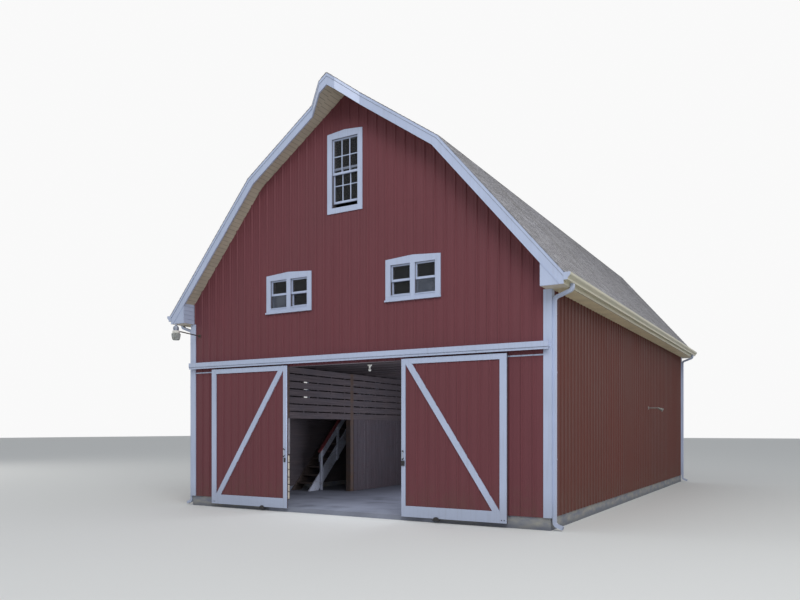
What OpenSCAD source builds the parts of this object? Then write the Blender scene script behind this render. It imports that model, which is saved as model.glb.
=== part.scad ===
// Red barn with a gambrel roof and two sliding doors.
// Millimetres. X runs across the front, Y runs from the front (-) to the back (+), Z is up.
// The origin is the centre of the base's flat underside, at ground level.

/* [Building] */
// Width over the siding
width = 9144; // [8600:1:11000]
// Length over the siding
length = 14630; // [13000:1:17000]
// Height of the concrete base under the siding
base_h = 236; // [180:1:400]
// Thickness of the concrete base
base_t = 145; // [130:1:300]
// How far the base stands back from the siding
base_setback = 15; // [5:1:40]
// Height of the floor above the ground
floor_h = 100; // [60:1:150]
// Thickness of the walls
wall_t = 160; // [110:1:210]

/* [Roof] */
// Height of the ridge
ridge_h = 9257; // [8900:1:9900]
// Distance of the roof break from the centre line
break_x = 2421; // [2150:1:2570]
// Height of the roof break
break_h = 7575; // [7350:1:7850]
// Height of the roof's top edge at the eaves
eave_h = 4661; // [4400:1:5000]
// How far the eaves reach past the side walls
eave_over = 345; // [260:1:480]
// How far the gable edges reach past the end walls
rake_over = 360; // [220:1:530]
// Thickness of the roof
roof_t = 140; // [90:1:165]
// Thickness of the fascia boards
fascia_t = 25; // [18:1:40]
// Depth of the fascia boards along the gable edges
fascia_d = 198; // [175:1:250]
// Thickness of the beaded soffit
soffit_t = 15; // [8:1:22]
// Height of the boxed eaves' underside below the roof's underside at the fascia
eave_box = 29; // [24:1:80]
// Width of the boxed return at each foot of a gable edge
return_w = 434; // [370:1:540]
// Width of the ridge cap on each slope
cap_w = 160; // [100:1:170]
// Thickness of the ridge cap
cap_t = 12; // [8:1:25]

/* [Hay hood] */
// Width of the hood's tip
hood_tip_w = 386; // [350:1:640]
// Width of the hood where it joins the gable edges
hood_w = 1221; // [860:1:1700]
// How far the hood reaches past the gable edges
hood_over = 315; // [160:1:480]

/* [Trim] */
// Width of the corner boards
corner_w = 140; // [90:1:200]
// How far the corner boards stand out from the siding
corner_t = 20; // [12:1:28]
// Height from the foot of the seam strips to the top of the doorway
strip_drop = 53; // [30:1:200]
// Width of the seam strips
strip_w = 26; // [15:1:28]
// How far the seam strips stand out from the siding
strip_t = 8; // [4:1:12]

/* [Gutters and downspouts] */
// Width of a gutter at its top
gutter_w = 126; // [100:1:160]
// Width of a gutter's flat floor
gutter_floor = 76; // [70:1:90]
// Height of a gutter
gutter_d = 134; // [90:1:150]
// Height of the upright foot of a gutter's front
gutter_foot = 20; // [12:1:40]
// Height of the upright lip at a gutter's top
gutter_lip = 34; // [15:1:45]
// Thickness of the gutter metal as modelled
gutter_t = 5; // [3:1:10]
// Height of the gutter's top edge below the roof's top edge
gutter_drop = 13; // [5:1:25]
// Width of a downspout along the wall
spout_w = 83; // [60:1:110]
// Depth of a downspout out from the wall
spout_d = 60; // [45:1:68]
// Thickness of the downspout metal as modelled
spout_t = 4; // [2:1:8]
// Distance from an end wall's face to the middle of a downspout
spout_inset = 66; // [45:1:120]
// Radius of a downspout's bends along its middle
spout_bend = 80; // [50:1:110]
// Slope of the run between the gutter and the wall, in degrees
spout_slope = 20; // [10:1:45]
// Length of a downspout above its first bend
spout_drop = 48; // [20:1:80]
// Height at which the bend at a downspout's foot starts
spout_foot_h = 165; // [150:1:300]
// Length of a downspout past that bend
spout_foot_l = 110; // [40:1:130]

/* [Doorway and doors] */
// Width of the doorway
doorway_w = 4267; // [3800:1:4400]
// Height of the top of the doorway
doorway_top = 3289; // [3000:1:3300]
// How far a closed door laps past the edge of the doorway
door_lap = 155; // [90:1:170]
// Gap between the closed doors
door_gap = 6; // [5:1:20]
// Height of the doors' lower edge
door_bottom = 91; // [75:1:120]
// How far the doors reach above the doorway
door_over = 16; // [10:1:25]
// Thickness of a door's panel
panel_t = 35; // [20:1:40]
// Thickness of the frame boards on a door
frame_t = 25; // [15:1:28]
// Clearance between the doors and the corner boards
door_clear = 7; // [5:1:12]
// Width of a door's stile on the meeting side
stile_in = 93; // [80:1:170]
// Width of a door's stile on the corner side
stile_out = 140; // [80:1:210]
// Height of a door's top rail
rail_top = 107; // [80:1:170]
// Height of a door's bottom rail
rail_bottom = 220; // [130:1:280]
// Width of a door's diagonal brace
brace_w = 124; // [100:1:190]
// Distance of the left door's meeting edge from the centre line as it stands
left_open = 1539; // [300:1:1900]
// Distance of the right door's meeting edge from the centre line as it stands
right_open = 1451; // [300:1:1900]
// Height of the middle of the pulls
pull_h = 1344; // [1300:1:1600]
// Distance between a pull's two posts
pull_l = 128; // [100:1:140]
// How far a pull stands out from the door's frame
pull_out = 45; // [30:1:70]
// Radius of a pull's grip
pull_r = 9; // [6:1:14]
// Height of the middle of the hasps
hasp_h = 1178; // [700:1:1200]
// Width of a hasp
hasp_w = 50; // [25:1:60]
// Height of a hasp
hasp_l = 96; // [60:1:120]

/* [Door track] */
// Height of the top of the track cover above the doorway
cover_rise = 199; // [180:1:240]
// Height of the cover's front board
cover_face = 102; // [70:1:115]
// Height of the lip below the front board
cover_lip = 48; // [20:1:55]
// How far the track cover stands out from the siding
cover_out = 128; // [115:1:160]
// Thickness of the cover's boards
cover_t = 12; // [8:1:15]
// How far the cover stops short of each corner
cover_inset = 16; // [0:1:60]
// Thickness of the rail the doors hang on
track_t = 8; // [5:1:12]
// Height of the rail
track_d = 32; // [20:1:35]
// Room between the hanger wheels and the top of the cover
wheel_room = 25; // [16:1:30]
// Radius of the hanger wheels
wheel_r = 22; // [16:1:24]
// Spacing of the rail's brackets
track_pitch = 610; // [400:1:900]
// Width of a bracket
bracket_w = 30; // [20:1:60]
// Distance of a hanger from the nearer edge of its door
hanger_inset = 320; // [200:1:600]
// Length of a hanger's foot on the door
hanger_l = 100; // [60:1:160]
// Width of a hanger's strap
strap_w = 40; // [25:1:44]
// Thickness of the hanger metal
hanger_t = 6; // [4:1:7]
// Distance of the door guides from the edges of the doorway
guide_x = 115; // [90:1:140]
// Radius of the half-round cheeks in front of the doors' feet
guide_r = 79; // [60:1:85]
// Width of a guide's bar
guide_bar = 60; // [32:1:80]
// Thickness of a guide's bar and cheek
guide_t = 8; // [5:1:12]
// Room between a guide's bar and the doors' lower edge
guide_room = 38; // [10:1:45]

/* [Windows] */
// Width of the loft window's opening
loft_win_w = 670; // [480:1:850]
// Height of the loft window's opening
loft_win_d = 1496; // [1000:1:1540]
// Height from the top of the loft window's opening to the ridge
loft_win_drop = 1095; // [1000:1:1300]
// How far the loft window's lower sash is raised
sash_raise = 110; // [0:1:200]
// Width of one light of a small window
light_w = 467; // [320:1:500]
// Height of a small window's opening
small_win_d = 639; // [430:1:750]
// Height of the bottom of the small windows' openings
small_win_h = 4625; // [4400:1:4800]
// Distance between the two lights of a small window
mullion_w = 109; // [90:1:240]
// Distance of the left small window from the centre line
left_win_x = 1532; // [1280:1:1800]
// Distance of the right small window from the centre line
right_win_x = 1671; // [1280:1:1800]
// Width of the casing boards
casing_w = 118; // [85:1:170]
// How far the casing boards stand out from the siding
casing_t = 24; // [12:1:35]
// Rise of the casing's peaked head
casing_peak = 43; // [10:1:90]
// Height of a small window's sill
sill_h = 34; // [20:1:60]
// How far a sill stands out from its casing
sill_out = 24; // [10:1:50]
// How far a sill reaches past its casing on each side
sill_side = 16; // [5:1:40]
// Width of the sashes' stiles and of an upper sash's top rail
sash_w = 30; // [25:1:65]
// Height of the sashes' meeting rails and bottom rails
sash_rail = 46; // [30:1:65]
// Thickness of the sashes
sash_t = 35; // [25:1:42]
// How far the upper sashes stand back from the siding
sash_inset = 20; // [8:1:40]
// Gap between an upper and a lower sash
sash_gap = 2; // [1:1:5]
// Thickness of the glass
glass_t = 4; // [3:1:6]
// Distance of the stair window's middle from the front wall's face
side_win_y = 4435; // [4000:1:5000]
// Height of the bottom of the stair window's opening
side_win_h = 2720; // [2500:1:2850]

/* [Loft floor] */
// Height of the loft floor's top
loft_h = 3690; // [3600:1:3900]
// Thickness of the loft floor's boards
deck_t = 30; // [20:1:45]
// Depth of the joists
joist_d = 210; // [150:1:240]
// Width of the joists
joist_w = 45; // [38:1:80]
// Distance of the first joist from the front wall's face
joist_first = 805; // [300:1:900]
// Spacing of the joists
joist_pitch = 610; // [400:1:800]
// Length of the stairwell in the loft floor
well_l = 2400; // [2000:1:2600]

/* [Stair] */
// Width of the stair over both stringers
stair_w = 662; // [560:1:900]
// Distance of the stair's foot from the front wall's face
stair_y = 3643; // [3400:1:4000]
// Number of risers
risers = 16; // [14:1:18]
// Going of one step
going = 241; // [210:1:270]
// How far a tread reaches past the one above
nosing = 20; // [0:1:35]
// Depth of the stringers
stringer_d = 311; // [260:1:340]
// How far the stringers stand above the line of the nosings
stringer_over = 40; // [0:1:80]
// Thickness of the stringers and treads
stair_t = 38; // [25:1:45]
// Thickness of the boards of the stair's rail
rail_t = 38; // [20:1:45]
// Width of the rail's posts
rail_post_w = 95; // [60:1:120]
// Distance of the lower post from the stair's foot
lower_post_y = 525; // [300:1:700]
// Distance of the upper post from the stair's foot
upper_post_y = 1361; // [1000:1:2000]
// Width of the handrail
handrail_w = 89; // [60:1:120]
// Height of the handrail's underside above the stringers
handrail_h = 650; // [560:1:900]
// Height of the middle rail's underside above the stringers
middle_h = 333; // [200:1:400]
// Height of the middle rail
middle_d = 200; // [90:1:220]

/* [Partition] */
// Distance of the partition's boarded face from the centre line
partition_x = 2732; // [2500:1:2900]
// Distance of the first partition post from the front wall's face
post_y = 1361; // [1000:1:1600]
// Size of the partition posts
post_w = 150; // [120:1:190]
// Distance between partition posts
post_pitch = 2893; // [2700:1:3100]
// Height of the underside of the slatted part
slat_h = 2148; // [2000:1:2400]
// Width of the slats
slat_w = 160; // [100:1:190]
// Gap between the slats
slat_gap = 32; // [15:1:60]
// Thickness of the slats and boards
slat_t = 25; // [15:1:28]
// Spacing of the studs behind the slats
stud_pitch = 625; // [400:1:750]
// Thickness of the studs
stud_t = 40; // [30:1:60]
// Depth of the studs
stud_d = 90; // [60:1:110]

/* [Lamps] */
// Distance of the yard lamp from the corner
lamp_x = 256; // [200:1:400]
// Height of the yard lamp's wall bracket below the eaves' soffit
lamp_drop = 247; // [150:1:400]
// How far the yard lamp hangs out from the front wall
lamp_out = 750; // [550:1:850]
// Rise of the yard lamp's arm
lamp_rise = 44; // [10:1:60]
// Radius of the yard lamp's housing
housing_r = 62; // [50:1:80]
// Height of the yard lamp's housing
housing_h = 112; // [90:1:150]
// Radius of the light cell on the housing
cell_r = 28; // [20:1:40]
// Height of the light cell
cell_h = 71; // [40:1:90]
// Radius of the ring under the housing
ring_r = 88; // [82:1:92]
// Height of the ring
ring_h = 63; // [40:1:80]
// Radius of the lamp's clear bowl
bowl_r = 108; // [96:1:130]
// Height of the bowl
bowl_h = 166; // [120:1:200]
// Thickness of the bowl
bowl_t = 5; // [3:1:8]
// Radius of the lamps' arms
arm_r = 14; // [10:1:20]
// Size of the yard lamp's wall plate
plate_w = 90; // [70:1:120]
// Thickness of the lamps' wall plates
plate_t = 12; // [6:1:20]
// Distance of the side lamp from the front wall's face
side_lamp_y = 8770; // [6000:1:10000]
// Height of the side lamp
side_lamp_h = 2486; // [2100:1:2800]
// Length of the side lamp's arm
side_lamp_arm = 260; // [150:1:350]
// Length of the side lamp's hood
side_hood_l = 160; // [100:1:200]
// Radius of the side lamp's hood and wall plate
side_hood_r = 48; // [35:1:60]
// Radius of the side lamp's socket
side_socket_r = 22; // [20:1:32]
// Slope of the side lamp's hood in degrees
side_nod = 25; // [5:1:60]
// Distance of the lampholder from the centre line
holder_x = 675; // [0:1:1500]
// Number of the joist that carries the lampholder
holder_joist = 2; // [1:1:8]
// Radius of the lampholder's canopy
canopy_r = 54; // [40:1:70]
// Height of the lampholder's canopy
canopy_h = 32; // [20:1:50]
// Length of the lampholder's neck
neck_l = 80; // [60:1:120]
// Radius of the lampholder's neck
neck_r = 22; // [15:1:26]
// Radius of the bulb
bulb_r = 36; // [30:1:45]

/* [Hidden] */
$fn = 48;

// Gap between boards that meet at a mitre
mitre = 0.4;
// Gap between pieces that are set against each other
seat = 0.3;
// Clearance of what moves past something fixed
move_clear = 5;
// How far a cut runs past the faces that it opens
past = 1;
// Largest step of an arc in degrees
arc_step = 12;
// Steps in the curve of a gutter's front
gutter_n = 8;

half_w = width / 2;
yf = -length / 2;
yb = length / 2;
eave_x = half_w + eave_over;
inner_x = half_w - wall_t;
rake_yf = yf - rake_over;
rake_yb = yb + rake_over;
hood_y = rake_yf - hood_over;
return_x = eave_x - return_w;
doorway_x = doorway_w / 2;
base_x = half_w - base_setback;
base_y = yb - base_setback;
room_x = min(inner_x, base_x - base_t);

upper_a = atan2(ridge_h - break_h, break_x);
lower_a = atan2(break_h - eave_h, eave_x - break_x);
soffit_h = lower_z(eave_x - fascia_t, roof_t) - eave_box;
// How deep under the roof's top the walls end
wall_d = roof_t + seat;

door_w = doorway_x + door_lap - door_gap / 2;
door_top = doorway_top + door_over;
leaf_back = yf - corner_t - door_clear;
leaf_mid = leaf_back - panel_t;
leaf_front = leaf_mid - frame_t;

cover_top = doorway_top + cover_rise;
cover_x = half_w - cover_inset;
track_y = (leaf_back + leaf_front - track_t) / 2;
track_top = cover_top - cover_t - wheel_room - 2 * wheel_r;

loft_win_h = ridge_h - loft_win_drop - loft_win_d;
side_win_x = -yf - side_win_y;

loft_under = loft_h - deck_t;
joist_under = loft_under - joist_d;
joist_y = yf + joist_first;

stair_x = room_x - stair_w;
stair_foot = yf + stair_y;
riser = (loft_h - floor_h) / risers;
rise = riser / going;
step_y = stair_foot + (riser + stringer_over) / rise;
well_y1 = step_y + (risers - 1) * going;
well_y0 = well_y1 - well_l;

// Solid between two corners
module block(x0, x1, y0, y1, z0, z1) {
    translate([x0, y0, z0]) cube([x1 - x0, y1 - y0, z1 - z0]);
}

// A copy on the other side of the centre line as well
module both_sides() {
    children();
    mirror([1, 0, 0]) children();
}

// A copy at the other end of the building as well
module both_ends() {
    children();
    mirror([0, 1, 0]) children();
}

// Extrudes an XZ outline from y0 to y1
module along_y(y0, y1) {
    translate([0, y1, 0]) rotate([90, 0, 0]) linear_extrude(y1 - y0) children();
}

// Extrudes a YZ outline from x0 to x1
module along_x(x0, x1) {
    translate([x0, 0, 0]) rotate([90, 0, 90]) linear_extrude(x1 - x0) children();
}

// Points of an arc about a centre
function arc(centre, r, a0, a1) =
    let (n = ceil(abs(a1 - a0) / arc_step))
    [for (i = [0:n]) centre + r * [cos(a0 + (a1 - a0) * i / n), sin(a0 + (a1 - a0) * i / n)]];

function reversed(points) = [for (i = [len(points) - 1:-1:0]) points[i]];

// Height of a line parallel to the upper slope, depth d under the roof's top
function upper_z(x, d) = ridge_h - d / cos(upper_a) - x * tan(upper_a);
// The same for the lower slope
function lower_z(x, d) = break_h - d / cos(lower_a) - (x - break_x) * tan(lower_a);
// Where that line is at height z
function lower_x(z, d) = break_x + (break_h - d / cos(lower_a) - z) / tan(lower_a);
// Where both lines meet
function meet_x(d) = (break_h - ridge_h + break_x * tan(lower_a) + d / cos(upper_a) - d / cos(lower_a))
    / (tan(lower_a) - tan(upper_a));
function meet(d) = [meet_x(d), upper_z(meet_x(d), d)];

// The same point, moved by g up the upper slope or down the lower slope
function above_meet(d, g) = meet(d) + g * [-cos(upper_a), sin(upper_a)];
function below_meet(d, g) = meet(d) + g * [cos(lower_a), -sin(lower_a)];
// Section of the upper slope between two depths, with a gap of g at both mitres
function upper_section(d1, d2, g = 0) = [
    [g, upper_z(g, d1)], above_meet(d1, g), above_meet(d2, g), [g, upper_z(g, d2)]
];
// Section of the lower slope between two depths, down to x1
function lower_section(d1, d2, x1, g = 0) = [
    below_meet(d1, g), [x1, lower_z(x1, d1)], [x1, lower_z(x1, d2)], below_meet(d2, g)
];

// Half width of the hood's plan at y, moved in by t from its outer face
hood_m = (hood_w - hood_tip_w) / 2 / hood_over;
function hood_x(y, t) = hood_tip_w / 2 + (y - hood_y) * hood_m - t * sqrt(1 + hood_m * hood_m);
// Part of a solid between the hood's boards
module in_hood() {
    tip = [hood_x(hood_y + fascia_t, fascia_t), hood_y + fascia_t];
    root = [hood_x(rake_yf + fascia_t, fascia_t), rake_yf + fascia_t];
    intersection() {
        children();
        linear_extrude(ridge_h * 2) polygon([[-tip[0], tip[1]], tip, root, [-root[0], root[1]]]);
    }
}

// Ring of concrete under the walls, open at the doorway
module foundation() {
    color("silver") difference() {
        block(-base_x, base_x, -base_y, base_y, 0, base_h);
        block(base_t - base_x, base_x - base_t, base_t - base_y, base_y - base_t, -past, base_h + past);
        block(-doorway_x, doorway_x, -base_y - past, base_t - base_y + past, -past, base_h + past);
    }
}

module floor_slab() {
    color("lightgray") {
        block(base_t - base_x, base_x - base_t, base_t - base_y, base_y - base_t, 0, floor_h);
        block(-doorway_x, doorway_x, -base_y, base_t - base_y, 0, floor_h);
    }
}

// Outline of an end wall under the roof, above z0
module gable_outline(z0) {
    polygon([
        [-half_w, z0], [half_w, z0], [half_w, lower_z(half_w, wall_d)], meet(wall_d),
        [0, upper_z(0, wall_d)], [-meet(wall_d)[0], meet(wall_d)[1]],
        [-half_w, lower_z(half_w, wall_d)]
    ]);
}

// Window openings of an end wall: the loft window and four small lights
module window_holes() {
    translate([-loft_win_w / 2, loft_win_h]) square([loft_win_w, loft_win_d]);
    for (x = [-left_win_x, right_win_x], side = [-1, 1])
        translate([x + side * (mullion_w + light_w) / 2 - light_w / 2, small_win_h])
            square([light_w, small_win_d]);
}

module front_wall_left() {
    color("firebrick") block(-half_w, -doorway_x, yf, yf + wall_t, base_h, doorway_top);
}

module front_wall_right() {
    color("firebrick") block(doorway_x, half_w, yf, yf + wall_t, base_h, doorway_top);
}

module front_gable() {
    color("firebrick") along_y(yf, yf + wall_t) difference() {
        gable_outline(doorway_top);
        window_holes();
    }
}

module back_wall() {
    color("firebrick") along_y(yb - wall_t, yb) difference() {
        gable_outline(base_h);
        window_holes();
    }
}

module side_wall() {
    along_y(yf + wall_t, yb - wall_t) polygon([
        [inner_x, base_h], [half_w, base_h], [half_w, lower_z(half_w, wall_d)],
        [inner_x, lower_z(inner_x, wall_d)]
    ]);
}

// Something made for the front wall, set against the left wall instead
module on_left_wall() {
    translate([-half_w - yf, 0, 0]) rotate([0, 0, -90]) children();
}

// The wall beside the stair, with its window's opening
module left_wall() {
    color("firebrick") difference() {
        mirror([1, 0, 0]) side_wall();
        on_left_wall()
            block(side_win_x - light_w / 2, side_win_x + light_w / 2, yf - past, yf + wall_t + past,
                side_win_h, side_win_h + small_win_d);
    }
}

module right_wall() {
    color("firebrick") side_wall();
}

// Two boards round each corner, from the siding's foot to the soffit
module corner_boards() {
    color("white") both_sides() both_ends() {
        block(half_w - corner_w, half_w + corner_t, yf - corner_t, yf, base_h, soffit_h);
        block(half_w, half_w + corner_t, yf + seat, yf + corner_w, base_h, soffit_h);
    }
}

// Thin white strip over the siding's seam on each side of the doorway
module seam_strips() {
    color("white") both_sides()
        block(doorway_x, half_w - corner_w, yf - strip_t, yf, doorway_top - strip_drop,
            doorway_top - strip_drop + strip_w);
}

// Upper slope of one side and, in front of it, the hood's half
module upper_slope() {
    root_y = rake_yf + fascia_t;
    along_y(root_y, rake_yb - fascia_t) polygon(upper_section(0, roof_t));
    in_hood() along_y(hood_y, root_y - seat) polygon(upper_section(0, roof_t));
}

module lower_slope() {
    along_y(rake_yf + fascia_t, rake_yb - fascia_t)
        polygon(lower_section(0, roof_t, eave_x - fascia_t));
}

module roof_upper_left() {
    color("dimgray") mirror([1, 0, 0]) upper_slope();
}

module roof_upper_right() {
    color("dimgray") upper_slope();
}

module roof_lower_left() {
    color("dimgray") mirror([1, 0, 0]) lower_slope();
}

module roof_lower_right() {
    color("dimgray") lower_slope();
}

// Cap over the ridge, one half on each slope
module ridge_cap() {
    rise = cap_t / cos(upper_a);
    color("gray") both_sides() along_y(hood_y, rake_yb) polygon([
        [seat / 2, upper_z(seat / 2, 0)], [cap_w, upper_z(cap_w, 0)], [cap_w, upper_z(cap_w, 0) + rise],
        [seat / 2, upper_z(seat / 2, 0) + rise]
    ]);
}

// Fascia boards of one end: two boards under the roof's edge on each slope, mitred with a fine
// gap, and the face of the boxed return
module fascia_outline() {
    polygon(upper_section(0, fascia_d, mitre));
    foot_x = lower_x(soffit_h, fascia_d);
    polygon([
        below_meet(0, mitre), [eave_x, lower_z(eave_x, 0)], [eave_x, soffit_h], [foot_x, soffit_h],
        below_meet(fascia_d, mitre)
    ]);
    polygon([
        [return_x, soffit_h], [foot_x - mitre, soffit_h],
        [return_x, lower_z(return_x + mitre, fascia_d)]
    ]);
}

// Boards round one half of the hay hood: across its tip and back to the gable edge's own boards
module hood_boards() {
    t = fascia_t;
    tip_x = hood_x(hood_y + t, t);
    root_x = hood_x(rake_yf + t, t);
    for (plan = [
        [[0, hood_y], [hood_tip_w / 2 - mitre, hood_y], [tip_x - mitre, hood_y + t], [0, hood_y + t]],
        [
            [hood_tip_w / 2, hood_y], [hood_w / 2, rake_yf], [hood_w / 2, rake_yf + t],
            [root_x, rake_yf + t], [tip_x, hood_y + t]
        ]
    ])
        intersection() {
            along_y(hood_y - past, rake_yf + t + past) polygon(upper_section(0, fascia_d, mitre));
            linear_extrude(ridge_h * 2) polygon(plan);
        }
}

module rake_fascia_front() {
    color("white") both_sides() {
        hood_boards();
        along_y(rake_yf, rake_yf + fascia_t) difference() {
            fascia_outline();
            square([hood_w / 2 + mitre, ridge_h * 2]);
        }
    }
}

module rake_fascia_back() {
    color("white") both_sides() along_y(rake_yb - fascia_t, rake_yb) fascia_outline();
}

// Soffit under the gable edges on one side, from the ridge to the boxed returns
module soffit_band() {
    intersection() {
        union() {
            polygon(upper_section(roof_t + seat, roof_t + soffit_t, mitre));
            polygon(lower_section(roof_t + seat, roof_t + soffit_t, half_w, mitre));
        }
        square([return_x - seat, ridge_h]);
    }
}

module rake_soffits() {
    color("tan") both_sides() {
        along_y(rake_yf + fascia_t, yf) soffit_band();
        in_hood() along_y(hood_y, rake_yf + fascia_t - seat) soffit_band();
        along_y(yb, rake_yb - fascia_t) soffit_band();
    }
}

// Boxes in front of the corners that close the eaves
module eave_returns() {
    color("tan") both_sides() both_ends()
        along_y(rake_yf + fascia_t, yf) polygon([
            [return_x, soffit_h], [eave_x - fascia_t, soffit_h],
            [eave_x - fascia_t, lower_z(eave_x - fascia_t, roof_t + seat)],
            [return_x, lower_z(return_x, roof_t + seat)]
        ]);
}

module eave_fascias() {
    color("white") both_sides()
        along_y(rake_yf + fascia_t, rake_yb - fascia_t) polygon([
            [eave_x - fascia_t, soffit_h], [eave_x, soffit_h], [eave_x, lower_z(eave_x, 0)],
            [eave_x - fascia_t, lower_z(eave_x - fascia_t, 0)]
        ]);
}

module eave_soffits() {
    color("tan") both_sides()
        block(half_w, eave_x - fascia_t, yf, yb, soffit_h, soffit_h + soffit_t);
}

gutter_top = eave_h - gutter_drop;
// S curve of a gutter's front between its upright foot and lip, moved in by t
function gutter_front(t) = [
    for (i = [0:gutter_n])
        [
            eave_x + gutter_floor + (gutter_w - gutter_floor) * (1 - cos(180 * i / gutter_n)) / 2 - t,
            gutter_top - gutter_d + gutter_foot + (gutter_d - gutter_foot - gutter_lip) * i / gutter_n
        ]
];
// Outer line of the front, from its foot up to its lip
function gutter_line(t) = concat(
    [[eave_x + gutter_floor - t, gutter_top - gutter_d]], gutter_front(t),
    [[eave_x + gutter_w - t, gutter_top]]
);

spout_y = yf + spout_inset;
spout_wall_x = half_w + corner_t + seat + spout_d / 2;
spout_out_x = eave_x + gutter_floor / 2;
spout_z0 = gutter_top - gutter_d;
spout_z1 = spout_z0 - spout_drop;
spout_z2 = spout_z1 - 2 * spout_bend * cos(spout_slope)
    - (spout_out_x - spout_wall_x - 2 * spout_bend * (1 - sin(spout_slope))) * tan(spout_slope);
// Hole in a gutter's floor over a downspout
module gutter_outlet() {
    block(spout_out_x + spout_t - spout_d / 2, spout_out_x + spout_d / 2 - spout_t,
        spout_y + spout_t - spout_w / 2, spout_y + spout_w / 2 - spout_t,
        spout_z0 - past, spout_z0 + gutter_t + past);
}

// A back, a floor with its outlets, a front and an end cap at each end
module gutters() {
    y0 = rake_yf + gutter_t + seat;
    y1 = rake_yb - gutter_t - seat;
    floor_z = gutter_top - gutter_d;
    color("white") both_sides() {
        block(eave_x, eave_x + gutter_t, y0, y1, floor_z, gutter_top);
        difference() {
            block(eave_x + gutter_t + seat, eave_x + gutter_floor - gutter_t - seat, y0, y1,
                floor_z, floor_z + gutter_t);
            both_ends() gutter_outlet();
        }
        along_y(y0, y1) polygon(concat(gutter_line(0), reversed(gutter_line(gutter_t))));
        both_ends()
            along_y(rake_yf, rake_yf + gutter_t)
                polygon(concat([[eave_x, gutter_top], [eave_x, floor_z]], gutter_line(0)));
    }
}

// Line beside the middle of a downspout, d away from it on its outer side, from the gutter down
// through two bends to the wall and out through a third at the foot, run on by e at both ends
function spout_line(d, e) = concat(
    [[spout_out_x + d, spout_z0 + e]],
    arc([spout_out_x - spout_bend, spout_z1], spout_bend + d, 0, spout_slope - 90),
    arc([spout_wall_x + spout_bend, spout_z2], spout_bend - d, 90 + spout_slope, 180),
    arc([spout_wall_x + spout_bend, spout_foot_h], spout_bend - d, 180, 270 - spout_slope),
    [
        [spout_wall_x + spout_bend, spout_foot_h]
            + (spout_bend - d) * [-sin(spout_slope), -cos(spout_slope)]
            + (spout_foot_l + e) * [cos(spout_slope), -sin(spout_slope)]
    ]
);
module spout_outline(d, e) {
    polygon(concat(spout_line(d, e), reversed(spout_line(-d, e))));
}

module downspouts() {
    color("white") both_sides() both_ends() difference() {
        along_y(spout_y - spout_w / 2, spout_y + spout_w / 2) spout_outline(spout_d / 2, 0);
        along_y(spout_y - spout_w / 2 + spout_t, spout_y + spout_w / 2 - spout_t)
            spout_outline(spout_d / 2 - spout_t, past);
    }
}

// Cover over the door track: a top, a front board, a lip behind it and two ends
module track_cover() {
    under = cover_top - cover_t;
    face_y = yf - cover_out;
    lip_y = face_y + cover_t + seat;
    color("white") {
        block(-cover_x, cover_x, face_y, yf - corner_t, under, cover_top);
        block(corner_w - half_w, half_w - corner_w, yf - corner_t + seat, yf, under, cover_top);
        block(-cover_x, cover_x, face_y, face_y + cover_t, cover_top - cover_face, under - seat);
        block(-cover_x, cover_x, lip_y, lip_y + cover_t, cover_top - cover_face - cover_lip,
            under - seat);
        both_sides()
            block(cover_x - cover_t, cover_x, lip_y + cover_t + seat, yf - corner_t,
                cover_top - cover_face, under - seat);
    }
}

// Rail the doors hang on, with brackets back to the wall
module door_track() {
    x1 = cover_x - cover_t - move_clear;
    n = floor((2 * x1 - bracket_w) / track_pitch);
    color("gray") {
        block(-x1, x1, track_y, track_y + track_t, track_top - track_d, track_top);
        for (i = [0:n])
            translate([(i - n / 2) * track_pitch, 0, 0])
                block(-bracket_w / 2, bracket_w / 2, track_y + track_t + seat, yf, track_top - track_d,
                    track_top - move_clear);
    }
}

// Guides at the doors' feet: a flat bar from the base that ends in a half-round cheek in front of
// the door
module door_guides() {
    x = doorway_x + guide_x;
    cheek_y = leaf_front - move_clear;
    z1 = door_bottom - guide_room;
    color("gray") both_sides() {
        block(x - guide_bar / 2, x + guide_bar / 2, cheek_y - guide_t, -base_y, z1 - guide_t, z1);
        along_y(cheek_y - guide_t, cheek_y) intersection() {
            translate([x, z1 - guide_t]) circle(r = guide_r);
            translate([x - guide_r, z1 - guide_t]) square([2 * guide_r, guide_r]);
        }
    }
}

// A door's panel with its meeting edge at x = 0, reaching towards +X
module door_panel() {
    block(0, door_w, leaf_mid, leaf_back, door_bottom, door_top);
}

// Boards on the panel: two stiles, two rails and the brace from the meeting side's top corner down
module door_frame() {
    x0 = stile_in + seat;
    x1 = door_w - stile_out - seat;
    z0 = door_bottom + rail_bottom;
    z1 = door_top - rail_top;
    foot_z = z0 + seat;
    head_z = z1 - seat;
    run = brace_w / sin(atan2(head_z - foot_z, x1 - x0 - brace_w));
    block(0, stile_in, leaf_front, leaf_mid, door_bottom, door_top);
    block(door_w - stile_out, door_w, leaf_front, leaf_mid, door_bottom, door_top);
    block(x0, x1, leaf_front, leaf_mid, door_bottom, z0);
    block(x0, x1, leaf_front, leaf_mid, z1, door_top);
    along_y(leaf_front, leaf_mid)
        polygon([[x0, head_z], [x0 + run, head_z], [x1, foot_z], [x1 - run, foot_z]]);
}

// A foot on the door's top, a strap past the rail's front and a wheel on the rail
module door_hanger() {
    strap_y = track_y - move_clear - hanger_t;
    axle_z = track_top + wheel_r + seat;
    wheel_y = track_y + track_t + move_clear;
    color("dimgray") {
        block(-hanger_l / 2, hanger_l / 2, leaf_front + move_clear, leaf_back - move_clear,
            door_top, door_top + hanger_t);
        block(-strap_w / 2, strap_w / 2, strap_y, strap_y + hanger_t, door_top + hanger_t,
            axle_z + strap_w / 4);
        translate([0, wheel_y, axle_z]) rotate([90, 0, 0])
            cylinder(r = wheel_r, h = wheel_y - strap_y - hanger_t);
    }
}

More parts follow.
